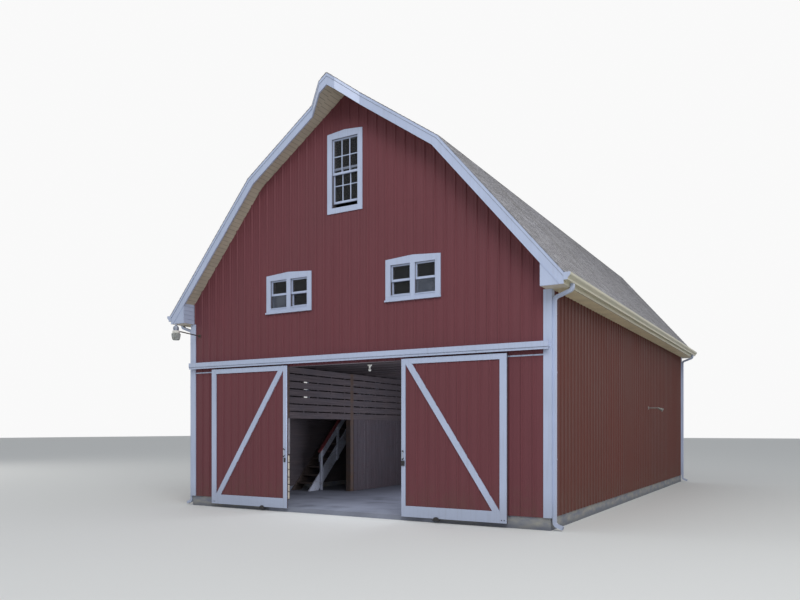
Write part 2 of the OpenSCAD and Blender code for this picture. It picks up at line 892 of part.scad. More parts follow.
// A pull on two posts and a hasp below it, on the meeting stile
module door_pull() {
    grip_y = leaf_front - pull_out + pull_r;
    color("black") translate([stile_in / 2, 0, 0]) {
        for (end = [-1, 1]) translate([0, leaf_front, pull_h + end * pull_l / 2]) rotate([90, 0, 0])
            cylinder(r = pull_r, h = leaf_front - grip_y);
        translate([0, grip_y, pull_h - pull_l / 2 - pull_r])
            cylinder(r = pull_r, h = pull_l + 2 * pull_r);
        block(-hasp_w / 2, hasp_w / 2, leaf_front - hanger_t, leaf_front, hasp_h - hasp_l / 2,
            hasp_h + hasp_l / 2);
    }
}

module door_hardware() {
    for (x = [hanger_inset, door_w - hanger_inset]) translate([x, 0, 0]) door_hanger();
    door_pull();
}

module left_door_panel() {
    color("firebrick") mirror([1, 0, 0]) translate([left_open, 0, 0]) door_panel();
}

module left_door_frame() {
    color("white") mirror([1, 0, 0]) translate([left_open, 0, 0]) door_frame();
}

module left_door_hardware() {
    mirror([1, 0, 0]) translate([left_open, 0, 0]) door_hardware();
}

module right_door_panel() {
    color("firebrick") translate([right_open, 0, 0]) door_panel();
}

module right_door_frame() {
    color("white") translate([right_open, 0, 0]) door_frame();
}

module right_door_hardware() {
    translate([right_open, 0, 0]) door_hardware();
}

// Casing of an opening from x0 to x1 and z0 to z1: a foot, two jambs and a peaked head
module casing(x0, x1, z0, z1) {
    along_y(yf - casing_t, yf) {
        translate([x0 - casing_w, z0 - casing_w]) square([x1 - x0 + 2 * casing_w, casing_w]);
        for (x = [x0 - casing_w, x1]) translate([x, z0 + seat]) square([casing_w, z1 - z0 - 2 * seat]);
        polygon([
            [x0 - casing_w, z1], [x1 + casing_w, z1], [x1 + casing_w, z1 + casing_w],
            [(x0 + x1) / 2, z1 + casing_w + casing_peak], [x0 - casing_w, z1 + casing_w]
        ]);
    }
}

module loft_casing() {
    casing(-loft_win_w / 2, loft_win_w / 2, loft_win_h, loft_win_h + loft_win_d);
}

// Casing, mullion and sill of a small window whose middle is at x
module small_casing(x) {
    reach = light_w + mullion_w / 2;
    side = reach + casing_w + sill_side;
    foot = small_win_h - casing_w;
    casing(x - reach, x + reach, small_win_h, small_win_h + small_win_d);
    block(x - mullion_w / 2, x + mullion_w / 2, yf - casing_t, yf, small_win_h + seat,
        small_win_h + small_win_d - seat);
    block(x - side, x + side, yf - casing_t - sill_out, yf - casing_t, foot, foot + sill_h);
}

module window_casings() {
    color("white") {
        both_ends() {
            loft_casing();
            small_casing(-left_win_x);
            small_casing(right_win_x);
        }
        on_left_wall()
            casing(side_win_x - light_w / 2, side_win_x + light_w / 2, side_win_h,
                side_win_h + small_win_d);
    }
}

// One sash: two stiles, a bottom rail and a top rail of the height head
module sash(x0, x1, z0, z1, head, y0) {
    along_y(y0, y0 + sash_t) difference() {
        translate([x0, z0]) square([x1 - x0, z1 - z0]);
        translate([x0 + sash_w, z0 + sash_rail])
            square([x1 - x0 - 2 * sash_w, z1 - z0 - sash_rail - head]);
    }
}

// Pane in the middle of a sash with a top rail of the height head
module pane(x0, x1, z0, z1, head, y0) {
    block(x0 + sash_w, x1 - sash_w, y0 + (sash_t - glass_t) / 2, y0 + (sash_t + glass_t) / 2,
        z0 + sash_rail, z1 - head);
}

// Both sashes of one opening; the upper one is outside, the lower one is raised by lift
module sash_pair(x0, x1, z0, z1, lift, glazed) {
    foot = (z0 + z1 - sash_rail) / 2;
    y_up = yf + sash_inset;
    y_low = y_up + sash_t + sash_gap;
    if (glazed) {
        pane(x0, x1, foot, z1, sash_w, y_up);
        pane(x0, x1, z0 + lift, foot + sash_rail + lift, sash_rail, y_low);
    } else {
        sash(x0, x1, foot, z1, sash_w, y_up);
        sash(x0, x1, z0 + lift, foot + sash_rail + lift, sash_rail, y_low);
    }
}

// Both sashes of a light of the small windows whose middle is at x
module light_sashes(x, z, glazed) {
    sash_pair(x - light_w / 2, x + light_w / 2, z, z + small_win_d, 0, glazed);
}

// All sashes or all panes: both end walls, and the window beside the stair. The loft window's lower
// sash is raised at the front only.
module all_sashes(glazed) {
    for (end = [0, 1]) mirror([0, end, 0]) {
        lift = end == 0 ? sash_raise : 0;
        sash_pair(-loft_win_w / 2, loft_win_w / 2, loft_win_h, loft_win_h + loft_win_d, lift, glazed);
        for (x = [-left_win_x, right_win_x], side = [-1, 1])
            light_sashes(x + side * (mullion_w + light_w) / 2, small_win_h, glazed);
    }
    on_left_wall() light_sashes(side_win_x, side_win_h, glazed);
}

module window_sashes() {
    color("white") all_sashes(false);
}

module window_glass() {
    color("darkslategray") all_sashes(true);
}

module loft_deck() {
    color("peru") difference() {
        block(-inner_x, inner_x, yf + wall_t, yb - wall_t, loft_under, loft_h);
        block(-inner_x - past, -stair_x, well_y0, well_y1, loft_under - past, loft_h + past);
    }
}

// Joists from wall to wall. Those that meet the stairwell stop at a trimmer along its side, and a
// header carries the floor at each of its ends.
module loft_joists() {
    last = floor((yb - wall_t - joist_w - joist_y) / joist_pitch);
    before = floor((well_y0 - 2 * joist_w - joist_y) / joist_pitch);
    after = ceil((well_y1 + joist_w - joist_y) / joist_pitch);
    trimmer_y0 = joist_y + before * joist_pitch + joist_w + seat;
    trimmer_y1 = joist_y + after * joist_pitch - seat;
    color("sienna") {
        for (i = [0:last]) {
            y = joist_y + i * joist_pitch;
            cut = i > before && i < after;
            block(cut ? joist_w + seat - stair_x : -inner_x, inner_x, y, y + joist_w, joist_under,
                loft_under);
        }
        block(-stair_x, joist_w - stair_x, trimmer_y0, trimmer_y1, joist_under, loft_under);
        for (y = [well_y0 - joist_w, well_y1])
            block(-inner_x, -stair_x - seat, y, y + joist_w, joist_under, loft_under);
    }
}

module partition_posts() {
    color("saddlebrown")
        for (i = [0:2]) {
            y = yf + post_y + i * post_pitch;
            block(-partition_x - post_w, -partition_x, y, y + post_w, floor_h, joist_under);
        }
}

// Slats over both bays, studs behind them and upright boards under them in the second bay
module partition_boards() {
    bay_l = post_pitch - post_w;
    step = slat_w + slat_gap;
    slat_n = floor((joist_under - slat_h - slat_gap) / step);
    stud_n = floor(bay_l / stud_pitch);
    color("rosybrown") for (bay = [0, 1]) {
        y0 = yf + post_y + post_w + bay * post_pitch;
        y1 = y0 + bay_l;
        for (i = [0:slat_n])
            block(-partition_x - slat_t, -partition_x, y0, y1, slat_h + i * step,
                min(joist_under, slat_h + i * step + slat_w));
        for (i = [1:stud_n]) {
            y = y0 + i * stud_pitch - stud_t;
            block(-partition_x - slat_t - seat - stud_d, -partition_x - slat_t - seat, y, y + stud_t,
                slat_h, joist_under);
        }
        if (bay == 1) block(-partition_x - slat_t, -partition_x, y0, y1, floor_h, slat_h - seat);
    }
}

// Height of the stringers' upper edge at y
function stringer_z(y) = floor_h + (y - stair_foot) * rise;
// Depth of a stringer measured straight down
stringer_drop = stringer_d * sqrt(1 + rise * rise);
// Outline of a stringer in the YZ plane
module stringer_outline() {
    polygon([
        [stair_foot, floor_h], [stair_foot + stringer_drop / rise, floor_h],
        [well_y1 - seat, stringer_z(well_y1 - seat) - stringer_drop],
        [well_y1 - seat, loft_h], [stair_foot + (loft_h - floor_h) / rise, loft_h]
    ]);
}

// Two stringers with open treads between them
module stair() {
    color("whitesmoke") {
        for (x = [-room_x, -stair_x - stair_t]) along_x(x, x + stair_t) stringer_outline();
        for (i = [1:risers - 1]) {
            y = step_y + (i - 1) * going;
            z = floor_h + i * riser;
            block(stair_t + seat - room_x, -stair_x - stair_t - seat, y - nosing, y + going - seat,
                z - stair_t, z);
        }
    }
}

handrail_d = rail_t * sqrt(1 + rise * rise);
// The handrail ends under the joists
rail_end_y = stair_foot + (joist_under - floor_h - handrail_h - handrail_d) / rise;
// Outline of a board along the stair between y0 and y1, from z0 to z1 above the stringers
module stair_board_outline(y0, y1, z0, z1) {
    polygon([
        [y0, stringer_z(y0) + z0], [y1, stringer_z(y1) + z0], [y1, stringer_z(y1) + z1],
        [y0, stringer_z(y0) + z1]
    ]);
}

// Posts on the stair's open side and the middle rail behind them
module stair_rail() {
    lower_y = stair_foot + lower_post_y;
    upper_y = stair_foot + upper_post_y;
    top = handrail_h - seat;
    color("white") {
        along_x(-stair_x, rail_t - stair_x) {
            polygon([
                [lower_y, floor_h], [lower_y + rail_post_w, floor_h],
                [lower_y + rail_post_w, stringer_z(lower_y + rail_post_w) + top],
                [lower_y, stringer_z(lower_y) + top]
            ]);
            stair_board_outline(upper_y, upper_y + rail_post_w, -stringer_drop, top);
        }
        along_x(-stair_x - rail_t, -stair_x - seat)
            stair_board_outline(lower_y, rail_end_y, middle_h, middle_h + middle_d);
    }
}

// Handrail over the posts
module stair_handrail() {
    x = (rail_t - handrail_w) / 2 - stair_x;
    color("firebrick") along_x(x, x + handrail_w)
        stair_board_outline(stair_foot + lower_post_y - rail_post_w / 2, rail_end_y, handrail_h,
            handrail_h + handrail_d);
}

// Lampholder with a bulb, under a joist
module lampholder() {
    y = joist_y + holder_joist * joist_pitch + joist_w / 2;
    color("white") translate([-holder_x, y, joist_under]) {
        translate([0, 0, -canopy_h]) cylinder(r = canopy_r, h = canopy_h);
        translate([0, 0, -canopy_h - neck_l]) cylinder(r = neck_r, h = neck_l);
        translate([0, 0, neck_r - bulb_r - canopy_h - neck_l]) sphere(r = bulb_r);
    }
}

// Light cell, housing, ring and open bowl of the yard lamp, one revolve about its own axis
module lamp_body() {
    rotate_extrude() polygon([
        [0, housing_h + cell_h], [cell_r, housing_h + cell_h], [cell_r, housing_h],
        [housing_r, housing_h], [housing_r, 0], [ring_r, 0], [ring_r, -ring_h],
        [bowl_r, -ring_h - (bowl_r - ring_r)], [ring_r, -ring_h - bowl_h],
        [ring_r - bowl_t, -ring_h - bowl_h], [bowl_r - bowl_t, -ring_h - (bowl_r - ring_r)],
        [ring_r - bowl_t, -ring_h], [0, -ring_h]
    ]);
}

// Wall plate, rising arm and the lamp itself
module yard_lamp() {
    tilt = atan(lamp_rise / lamp_out);
    color("gray") translate([lamp_x - half_w, yf, soffit_h - lamp_drop]) {
        block(-plate_w / 2, plate_w / 2, -plate_t, 0, -plate_w / 2, plate_w / 2);
        translate([0, -plate_t / 2, 0]) rotate([90 - tilt, 0, 0])
            cylinder(r = arm_r, h = (lamp_out - plate_t / 2) / cos(tilt));
        translate([0, -lamp_out, 0]) lamp_body();
    }
}

// Flange, arm and small hooded head of the lamp on the right wall
module side_lamp() {
    color("gray") translate([half_w, yf + side_lamp_y, side_lamp_h]) rotate([0, 90, 0]) {
        cylinder(r = side_hood_r, h = plate_t);
        cylinder(r = arm_r, h = side_lamp_arm);
        translate([0, 0, side_lamp_arm]) rotate([0, side_nod, 0])
            cylinder(r1 = side_socket_r, r2 = side_hood_r, h = side_hood_l);
    }
}

foundation();
floor_slab();
front_wall_left();
front_wall_right();
front_gable();
left_wall();
right_wall();
back_wall();
corner_boards();
seam_strips();
roof_upper_left();
roof_upper_right();
roof_lower_left();
roof_lower_right();
ridge_cap();
rake_fascia_front();
rake_fascia_back();
rake_soffits();
eave_returns();
eave_fascias();
eave_soffits();
gutters();
downspouts();
track_cover();
door_track();
door_guides();
left_door_panel();
left_door_frame();
left_door_hardware();
right_door_panel();
right_door_frame();
right_door_hardware();
window_casings();
window_sashes();
window_glass();
loft_deck();
loft_joists();
partition_posts();
partition_boards();
stair();
stair_rail();
stair_handrail();
lampholder();
yard_lamp();
side_lamp();
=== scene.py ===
"""Looks of a gambrel barn with ribbed steel siding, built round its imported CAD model."""

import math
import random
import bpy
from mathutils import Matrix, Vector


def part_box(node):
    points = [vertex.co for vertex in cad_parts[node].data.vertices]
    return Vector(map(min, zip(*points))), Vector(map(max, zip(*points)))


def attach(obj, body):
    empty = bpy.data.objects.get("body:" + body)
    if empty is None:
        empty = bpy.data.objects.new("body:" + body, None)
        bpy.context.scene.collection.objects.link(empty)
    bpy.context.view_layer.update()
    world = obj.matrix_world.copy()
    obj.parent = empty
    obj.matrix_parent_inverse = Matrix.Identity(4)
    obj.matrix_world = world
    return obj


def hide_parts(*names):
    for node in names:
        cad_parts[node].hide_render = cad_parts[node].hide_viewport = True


bl_info = {
    "name": "Gambrel barn looks",
    "version": (1, 0, 0),
    "blender": (4, 5, 0),
    "location": "3D View > Sidebar > Barn",
    "description": "Siding, shingles, trim, doors, windows and lamps of a gambrel barn",
    "category": "Add Mesh",
}

import bmesh
import bpy
from mathutils import Matrix, Vector

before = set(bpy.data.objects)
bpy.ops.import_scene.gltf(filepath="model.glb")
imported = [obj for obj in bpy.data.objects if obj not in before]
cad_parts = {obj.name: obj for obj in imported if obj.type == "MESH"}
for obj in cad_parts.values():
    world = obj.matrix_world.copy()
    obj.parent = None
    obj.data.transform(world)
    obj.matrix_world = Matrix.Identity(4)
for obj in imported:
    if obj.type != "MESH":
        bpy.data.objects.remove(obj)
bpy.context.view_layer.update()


def linear(code):
    """Linear RGB of an sRGB hex colour."""
    channels = [int(code[i : i + 2], 16) / 255 for i in (1, 3, 5)]
    return tuple(c / 12.92 if c <= 0.04045 else ((c + 0.055) / 1.055) ** 2.4 for c in channels)


# Faces of the building, taken from the CAD nodes
WALL_LOW, WALL_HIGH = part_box("front_gable")
HALF_W, FRONT_Y = WALL_HIGH.x, WALL_LOW.y
WALL_T = WALL_HIGH.y - WALL_LOW.y
DOORWAY_Z = WALL_LOW.z
BACK_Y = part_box("back_wall")[1].y
BASE_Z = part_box("back_wall")[0].z
INNER_X = HALF_W - WALL_T
DOORWAY_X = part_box("front_wall_right")[0].x
FLOOR_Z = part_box("floor_slab")[1].z
SOFFIT_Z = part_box("corner_boards")[1].z
JOIST_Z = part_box("loft_joists")[0].z
RAKE_FRONT, RAKE_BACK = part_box("gutters")[0].y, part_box("gutters")[1].y
HOOD_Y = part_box("rake_fascia_front")[0].y
FASCIA_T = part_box("rake_fascia_back")[1].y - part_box("rake_fascia_back")[0].y
EAVE_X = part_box("eave_fascias")[1].x

# Roof lines, from the boxes of the slopes
RIDGE_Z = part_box("roof_upper_right")[1].z
BREAK_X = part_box("roof_upper_right")[1].x
BREAK_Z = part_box("roof_lower_right")[1].z
UPPER = math.atan2(RIDGE_Z - BREAK_Z, BREAK_X)
LOWER = math.atan2(
    BREAK_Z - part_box("eave_fascias")[1].z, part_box("roof_lower_right")[1].x - BREAK_X
)
ROOF_T = (RIDGE_Z - WALL_HIGH.z) * math.cos(UPPER)

# Sizes that the boxes don't give, as in the part's source
HOOD_TIP, HOOD_ROOT = 0.193, 0.6105
FASCIA_D = 0.198
RETURN_X = EAVE_X - 0.434
SOFFIT_T = 0.015
CORNER_W = 0.140
LOFT_WINDOW = (-0.335, 0.335, 6.666, 8.162)
LIGHT_W, LIGHT_D, LIGHT_Z = 0.467, 0.639, 4.625
MULLION_W = 0.109
WINDOW_XS = (-1.532, 1.671)
STAIR_WINDOW = (-3.1135, -2.6465, 2.720, 3.359)
SASH_W, SASH_RAIL, SASH_T, SASH_IN, SASH_GAP = 0.030, 0.046, 0.035, 0.020, 0.002
SASH_RAISE = 0.110
STILE_IN = 0.093
HASP_Z, KNOB_ZS = 1.178, (1.262, 1.426)
LAMP_REACH, LAMP_DROP = 0.750, 0.183
SPOUT_OUT, SPOUT_IN = 0.052, 0.066
GRIP_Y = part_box("left_door_frame")[0].y - 0.0265
STRIP = (3.236, 3.262)
LAP_Z = 6.53
COVER_LIP = 3.386
STAIR_X = -3.750
PARTITION_X = -2.732
POST_Y, POST_W, POST_PITCH, SLAT_Z = FRONT_Y + 1.361, 0.150, 2.893, 2.148

# Areas as (x0, x1, z0, z1): the doorway, and the track's cover, which has no screws behind it
DOORWAY = (-DOORWAY_X, DOORWAY_X, BASE_Z - 1, DOORWAY_Z)
COVER = (-HALF_W, HALF_W, 3.20, 3.50)

# Depth of the soffits below the roof's top, and the y of each end wall and its gable board
SOFFIT_D = ROOF_T + SOFFIT_T
GABLE_EDGES = ((FRONT_Y, RAKE_FRONT + FASCIA_T), (BACK_Y, RAKE_BACK - FASCIA_T))

# Thickness of the siding's steel and of the soffits' vinyl
SHEET_T, VINYL_T = 0.0008, 0.006
# Half widths and height of the siding's low ribs
LOW_FOOT, LOW_TOP, LOW_HIGH = 0.009, 0.004, 0.0028
# How far the panels stand off the wall, the upper ones too, and how far they lap
LIFT, UPPER_LIFT, LAP = 0.0015, 0.004, 0.05
# How far the siding runs behind a corner board, and how far screws stay from an opening
TUCK, SCREW_CLEAR = 0.004, 0.16
# How far shingles reach over the gable boards, and past the feet of both slopes
OVERHANG, LOWER_REACH, UPPER_REACH = 0.012, 0.014, 0.016
# Gap behind a board that is fixed to a post
SEAT = 0.0005


def upper_z(x, depth=0.0):
    """Height of a line parallel to the upper slope."""
    return RIDGE_Z - depth / math.cos(UPPER) - abs(x) * math.tan(UPPER)


def lower_z(x, depth=0.0):
    """Height of a line parallel to the lower slope."""
    return BREAK_Z - depth / math.cos(LOWER) - (abs(x) - BREAK_X) * math.tan(LOWER)


def meet_x(depth=0.0):
    """Where the lines of both slopes cross."""
    step = depth / math.cos(UPPER) - depth / math.cos(LOWER)
    return BREAK_X + step / (math.tan(LOWER) - math.tan(UPPER))


def metres(name, description, default, low, high):
    """A length property in metres."""
    return bpy.props.FloatProperty(
        name=name, description=description, default=default, min=low, max=high,
        subtype="DISTANCE", unit="LENGTH",
    )


def colour(name, description, code):
    """A colour property with an sRGB hex default."""
    return bpy.props.FloatVectorProperty(
        name=name, description=description, default=linear(code), size=3, min=0, max=1,
        subtype="COLOR",
    )


class BarnSizes(bpy.types.PropertyGroup):
    """Sizes of the small pieces that the solids leave out."""

    rib_pitch: metres("Rib pitch", "Distance between the siding's ribs", 0.2286, 0.1, 0.4)
    rib_height: metres("Rib height", "How far a rib stands out", 0.019, 0.005, 0.019)
    rib_base: metres("Rib base", "Width of a rib at its foot", 0.046, 0.02, 0.08)
    rib_top: metres("Rib top", "Width of a rib's flat top", 0.016, 0.005, 0.04)
    girt_pitch: metres("Girt pitch", "Height between the rows of screws", 0.61, 0.3, 1.2)
    exposure: metres("Shingle exposure", "Height of a course that shows", 0.127, 0.08, 0.2)
    tab_width: metres("Tab width", "Width of one shingle tab", 0.305, 0.15, 0.5)
    bead_pitch: metres("Bead pitch", "Distance between the soffit's grooves", 0.1016, 0.05, 0.2)
    board_width: metres("Board width", "Width of the boards on the walls", 0.145, 0.08, 0.3)
    bar_width: metres("Window bar width", "Width of the bars between panes", 0.019, 0.01, 0.04)


class BarnColours(bpy.types.PropertyGroup):
    """Colours of the finishes."""

    siding: colour("Siding", "Baked enamel of the steel siding", "#6c3c42")
    # The sides' colour is the front's enamel made darker and browner: painted shade and painted
    # warm reflection
    siding_side_shade: colour("Side siding", "The same enamel, with painted shade and warm reflection on the sides", "#5d342e")
    # The trim is white paint written blue-grey: painted cool shade
    trim: colour("Trim", "Boards, casings and door frames", "#b6c1da")
    # The gutters' white enamel is written cream: painted reflection of the foliage and the ground
    gutter: colour("Gutters", "Enamel of the gutters", "#bdb69d")
    shingle: colour("Shingles", "Granules of the roof's shingles", "#a3a1a5")
    soffit: colour("Soffit", "Beaded soffit", "#c9bfac")
    concrete: colour("Concrete", "Base and floor", "#7b7f8c")
    boards: colour("Barn boards", "Weathered boards inside", "#5b5254")
    stair: colour("Stair paint", "White paint of the stair", "#b4b8c6")
    rail: colour("Handrail paint", "Red paint of the handrail", "#7d3a3c")
    glass: colour("Glass", "Panes against the dark loft", "#2a2d31")


def sizes():
    """The sizes that the scene holds."""
    return bpy.context.scene.barn_sizes


def colours():
    """The colours that the scene holds."""
    return bpy.context.scene.barn_colours


# Mesh helpers


def place_object(name, data, place=(0, 0, 0)):
    """Puts an object into the scene."""
    made = bpy.data.objects.new(name, data)
    made.location = place
    bpy.context.scene.collection.objects.link(made)
    return made


def make_piece(name, bm, look, body="barn", replaces=(), sheet=False):
    """Turns a bmesh into a piece that rides on a body. A thickened sheet already faces outwards."""
    if not bm.faces:
        raise RuntimeError(f"{name} has no faces")
    if not sheet:
        bmesh.ops.recalc_face_normals(bm, faces=bm.faces[:])
    mesh = bpy.data.meshes.new(name)
    bm.to_mesh(mesh)
    bm.free()
    mesh.materials.append(finish(look))
    piece = place_object(name, mesh)
    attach(piece, body)
    if replaces:
        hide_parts(*replaces)


def dress(look, *nodes):
    """Gives CAD nodes whose shape is right their finish."""
    for name in nodes:
        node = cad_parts[name]
        node.data.materials.clear()
        node.data.materials.append(finish(look))


def add_box(bm, low, high, bevel=0.0):
    """Adds a box between two corners, with eased edges."""
    low, high = Vector(low), Vector(high)
    place = Matrix.Translation((low + high) / 2) @ Matrix.Diagonal((*(high - low), 1.0))
    verts = bmesh.ops.create_cube(bm, size=1.0, matrix=place)["verts"]
    if bevel:
        bmesh.ops.bevel(
            bm, geom=list({e for v in verts for e in v.link_edges}), offset=bevel,
            offset_type="OFFSET", segments=1, profile=0.5, affect="EDGES", clamp_overlap=True,
            material=-1,
        )


def add_hull(bm, points):
    """Adds the convex solid round some points."""
    verts = [bm.verts.new(p) for p in points]
    made = bmesh.ops.convex_hull(bm, input=verts)
    spare = [g for g in made["geom_interior"] if isinstance(g, bmesh.types.BMVert)]
    bmesh.ops.delete(bm, geom=spare, context="VERTS")
    return [v for v in verts if v.is_valid]


def add_sheet(bm, line, sweep, groove=None):
    """Adds an open sheet: a line of points swept along a vector, its grooves marked in a layer."""
    verts = [bm.verts.new(p) for p in line]
    if groove is not None:
        for vert in verts[2::3]:
            vert[groove] = 1.0
    edges = [bm.edges.new(pair) for pair in zip(verts, verts[1:])]
    made = bmesh.ops.extrude_edge_only(bm, edges=edges)["geom"]
    moved = [g for g in made if isinstance(g, bmesh.types.BMVert)]
    bmesh.ops.translate(bm, verts=moved, vec=sweep)


def cut(bm, point, normal, clear=True):
    """Cuts everything along a plane and drops what lies on the normal's side."""
    bmesh.ops.bisect_plane(
        bm, geom=bm.verts[:] + bm.edges[:] + bm.faces[:], dist=1e-6, plane_co=point,
        plane_no=normal, clear_outer=clear, clear_inner=False,
    )


def close_cuts(bm):
    """Fills the open edges that a cut leaves on closed solids."""
    edges = [e for e in bm.edges if e.is_boundary]
    if edges:
        bmesh.ops.holes_fill(bm, edges=edges, sides=0)


def cut_opening(bm, axis, u0, u1, z0, z1):
    """Cuts a rectangular opening into a wall's sheet, whose length runs along axis 0 or 1."""
    across = Vector((1, 0, 0)) if axis == 0 else Vector((0, 1, 0))
    for u in (u0, u1):
        cut(bm, across * u, across, clear=False)
    for z in (z0, z1):
        cut(bm, (0, 0, z), (0, 0, 1), clear=False)
    gone = []
    for face in bm.faces:
        centre = face.calc_center_median()
        if u0 < centre[axis] < u1 and z0 < centre.z < z1:
            gone.append(face)
    bmesh.ops.delete(bm, geom=gone, context="FACES")


def thicken(bm, thickness, down=False):
    """Gives an open sheet its thickness, after its faces are made to agree or to look down."""
    if down:
        bm.normal_update()
        bmesh.ops.reverse_faces(bm, faces=[f for f in bm.faces if f.normal.z > 0])
    else:
        bmesh.ops.recalc_face_normals(bm, faces=bm.faces[:])
    bmesh.ops.solidify(bm, geom=bm.verts[:] + bm.edges[:] + bm.faces[:], thickness=thickness)


def take(bm, other):
    """Moves everything in another bmesh into bm."""
    spare = bpy.data.meshes.new("spare")
    other.to_mesh(spare)
    other.free()
    bm.from_mesh(spare)
    bpy.data.meshes.remove(spare)


def slope_axes(side, angle):
    """Unit vectors up a roof slope and away from it."""
    return (Vector((-side * math.cos(angle), 0, math.sin(angle))),
            Vector((side * math.sin(angle), 0, math.cos(angle))))


def hood_side(side):
    """Unit vector out of the hay hood's slanted edge."""
    edge = Vector((HOOD_ROOT - HOOD_TIP, RAKE_FRONT - HOOD_Y)).normalized()
    return Vector((side * edge.y, -edge.x, 0))


def spin_profile(bm, profile, centre, axis, steps):
    """Adds a closed revolve of (radius, height) points about an axis through centre."""
    axis = Vector(axis).normalized()
    side = axis.orthogonal().normalized()
    verts = [bm.verts.new(Vector(centre) + side * r + axis * h) for r, h in profile]
    edges = [bm.edges.new(pair) for pair in zip(verts, verts[1:])]
    bmesh.ops.spin(
        bm, geom=verts + edges, cent=centre, axis=axis, dvec=(0, 0, 0), angle=2 * math.pi,
        steps=steps, use_merge=True, use_duplicate=False,
    )
    bmesh.ops.remove_doubles(bm, verts=bm.verts[:], dist=1e-5)


# Finishes


def add(tree, kind, inputs=None, **options):
    """Adds a shader node, sets its options, and fills or links its inputs."""
    node = tree.nodes.new(kind)
    for key, value in options.items():
        setattr(node, key, value)
    for key, value in (inputs or {}).items():
        if isinstance(value, bpy.types.NodeSocket):
            tree.links.new(value, node.inputs[key])
        else:
            node.inputs[key].default_value = value
    return node


class Coat:
    """A finish in the making: its first colour, and the colours that patterns lay over it."""

    def __init__(self, name, roughness, colour, tone=1.0, **constants):
        self.material = bpy.data.materials.new(name)
        self.material.use_nodes = True
        self.tree = self.material.node_tree
        self.tree.nodes.clear()
        self.rgb = linear(colour) if isinstance(colour, str) else tuple(colour)
        self.body = self.paint(tone)
        self.place = self.add("ShaderNodeTexCoord").outputs["Object"]
        values = {key.replace("_", " "): value for key, value in constants.items()}
        self.shader = self.add("ShaderNodeBsdfPrincipled", {
            "Base Color": self.body, "Roughness": roughness, **values})
        self.add("ShaderNodeOutputMaterial", {"Surface": self.shader.outputs["BSDF"]})

    def add(self, kind, inputs=None, feeds=None, **options):
        """Adds a node, whose first output may feed one of the shader's sockets."""
        node = add(self.tree, kind, inputs, **options)
        if feeds:
            self.tree.links.new(node.outputs[0], self.shader.inputs[feeds])
        return node

    def paint(self, colour):
        """A hex colour, or for a number the coat's own colour made lighter or darker."""
        if isinstance(colour, str):
            return (*linear(colour), 1.0)
        return (*(min(1.0, c * colour) for c in self.rgb), 1.0)

    def patches(self, size, low=0.35, high=0.65, detail=4.0):
        """A cloudy pattern from 0 to 1, its patches about size metres, or along X, Y and Z."""
        sizes = size if isinstance(size, tuple) else (size,) * 3
        spot = self.add("ShaderNodeMapping", {
            "Vector": self.place, "Scale": tuple(1 / s for s in sizes)})
        cloud = self.add("ShaderNodeTexNoise", {
            "Vector": spot.outputs[0], "Scale": 1.0, "Detail": detail})
        return self.add("ShaderNodeMapRange", {
            "Value": cloud.outputs["Fac"], "From Min": low, "From Max": high}).outputs[0]

    def fade(self, axis, start, end):
        """A pattern that is 0 where a coordinate is start and rises to 1 where it is end."""
        axes = self.add("ShaderNodeSeparateXYZ", {0: self.place}).outputs
        return self.add("ShaderNodeMapRange", {
            "Value": axes[axis], "From Min": start, "From Max": end,
        }, interpolation_type="SMOOTHSTEP").outputs[0]

    def before(self, axis, limit):
        """A pattern that is 1 where a coordinate is below a limit, otherwise 0."""
        axes = self.add("ShaderNodeSeparateXYZ", {0: self.place}).outputs
        return self.add("ShaderNodeMath", {0: axes[axis], 1: limit},
                        operation="LESS_THAN").outputs[0]

    def over(self, colour, factor, *others):
        """Lays a colour over the rest, by the product of patterns and numbers."""
        for other in others:
            factor = self.add("ShaderNodeMath", {0: factor, 1: other},
                              operation="MULTIPLY").outputs[0]
        self.body = self.add("ShaderNodeMix", {0: factor, 6: self.body, 7: self.paint(colour)},
                             data_type="RGBA").outputs[2]
        self.tree.links.new(self.body, self.shader.inputs["Base Color"])


finishes = {}


def finish(look):
    """The material of a finish, made on first use."""
    if look not in finishes:
        finishes[look] = FINISHES[look]().material
    return finishes[look]


def enamelled_siding(name, colour):
    # Baked enamel on rolled steel: a satin film that chalks in broad patches, carries faint
    # vertical rain streaks and gathers splashed soil at its foot. The sheet between the ribs
    # is never quite flat.
    coat = Coat(name, 0.5, colour, 0.93, Specular_IOR_Level=0.25)
    chalk = coat.patches((1.6, 1.6, 2.4), 0.3, 0.7)
    coat.over(1.09, chalk)
    coat.over(0.80, coat.patches((0.05, 0.05, 1.8), 0.4, 0.75, 3.0), 0.35)
    splash = coat.patches((0.12, 0.12, 0.2), 0.3, 0.8)
    coat.over("#5c4a40", coat.fade("Z", 1.1, 0.22), splash, 0.45)
    coat.add("ShaderNodeMapRange", {"Value": chalk, "To Min": 0.5, "To Max": 0.68},
             feeds="Roughness")
    buckles = coat.patches((0.22, 0.22, 0.7), 0.2, 0.8, 2.0)
    coat.add("ShaderNodeBump", {"Height": buckles, "Distance": 0.0012}, feeds="Normal")
    return coat


def coated_trim(name):
    # White coil-coated aluminium bent round boards: satin, faintly oil-canned, with grey rain
    # marks that run down and collect near the ground, and laps between panels whose V grooves
    # are darkened as painted shade.
    # Its colour is white drawn blue-grey: painted cool shade
    coat = Coat(name, 0.42, colours().trim)
    coat.over(0.90, coat.patches(0.9, 0.3, 0.75))
    coat.over("#6f6c66", coat.patches((0.035, 0.035, 0.9), 0.52, 0.8, 3.0), 0.16)
    coat.over("#6f6c66", coat.fade("Z", 0.8, 0.1), 0.22)
    # Darker along the V grooves: painted shade
    coat.over(0.3, coat.add("ShaderNodeAttribute", attribute_name="groove").outputs["Fac"])
    buckles = coat.patches(0.3, 0.2, 0.8, 2.0)
    coat.add("ShaderNodeBump", {"Height": buckles, "Distance": 0.0008}, feeds="Normal")
    return coat


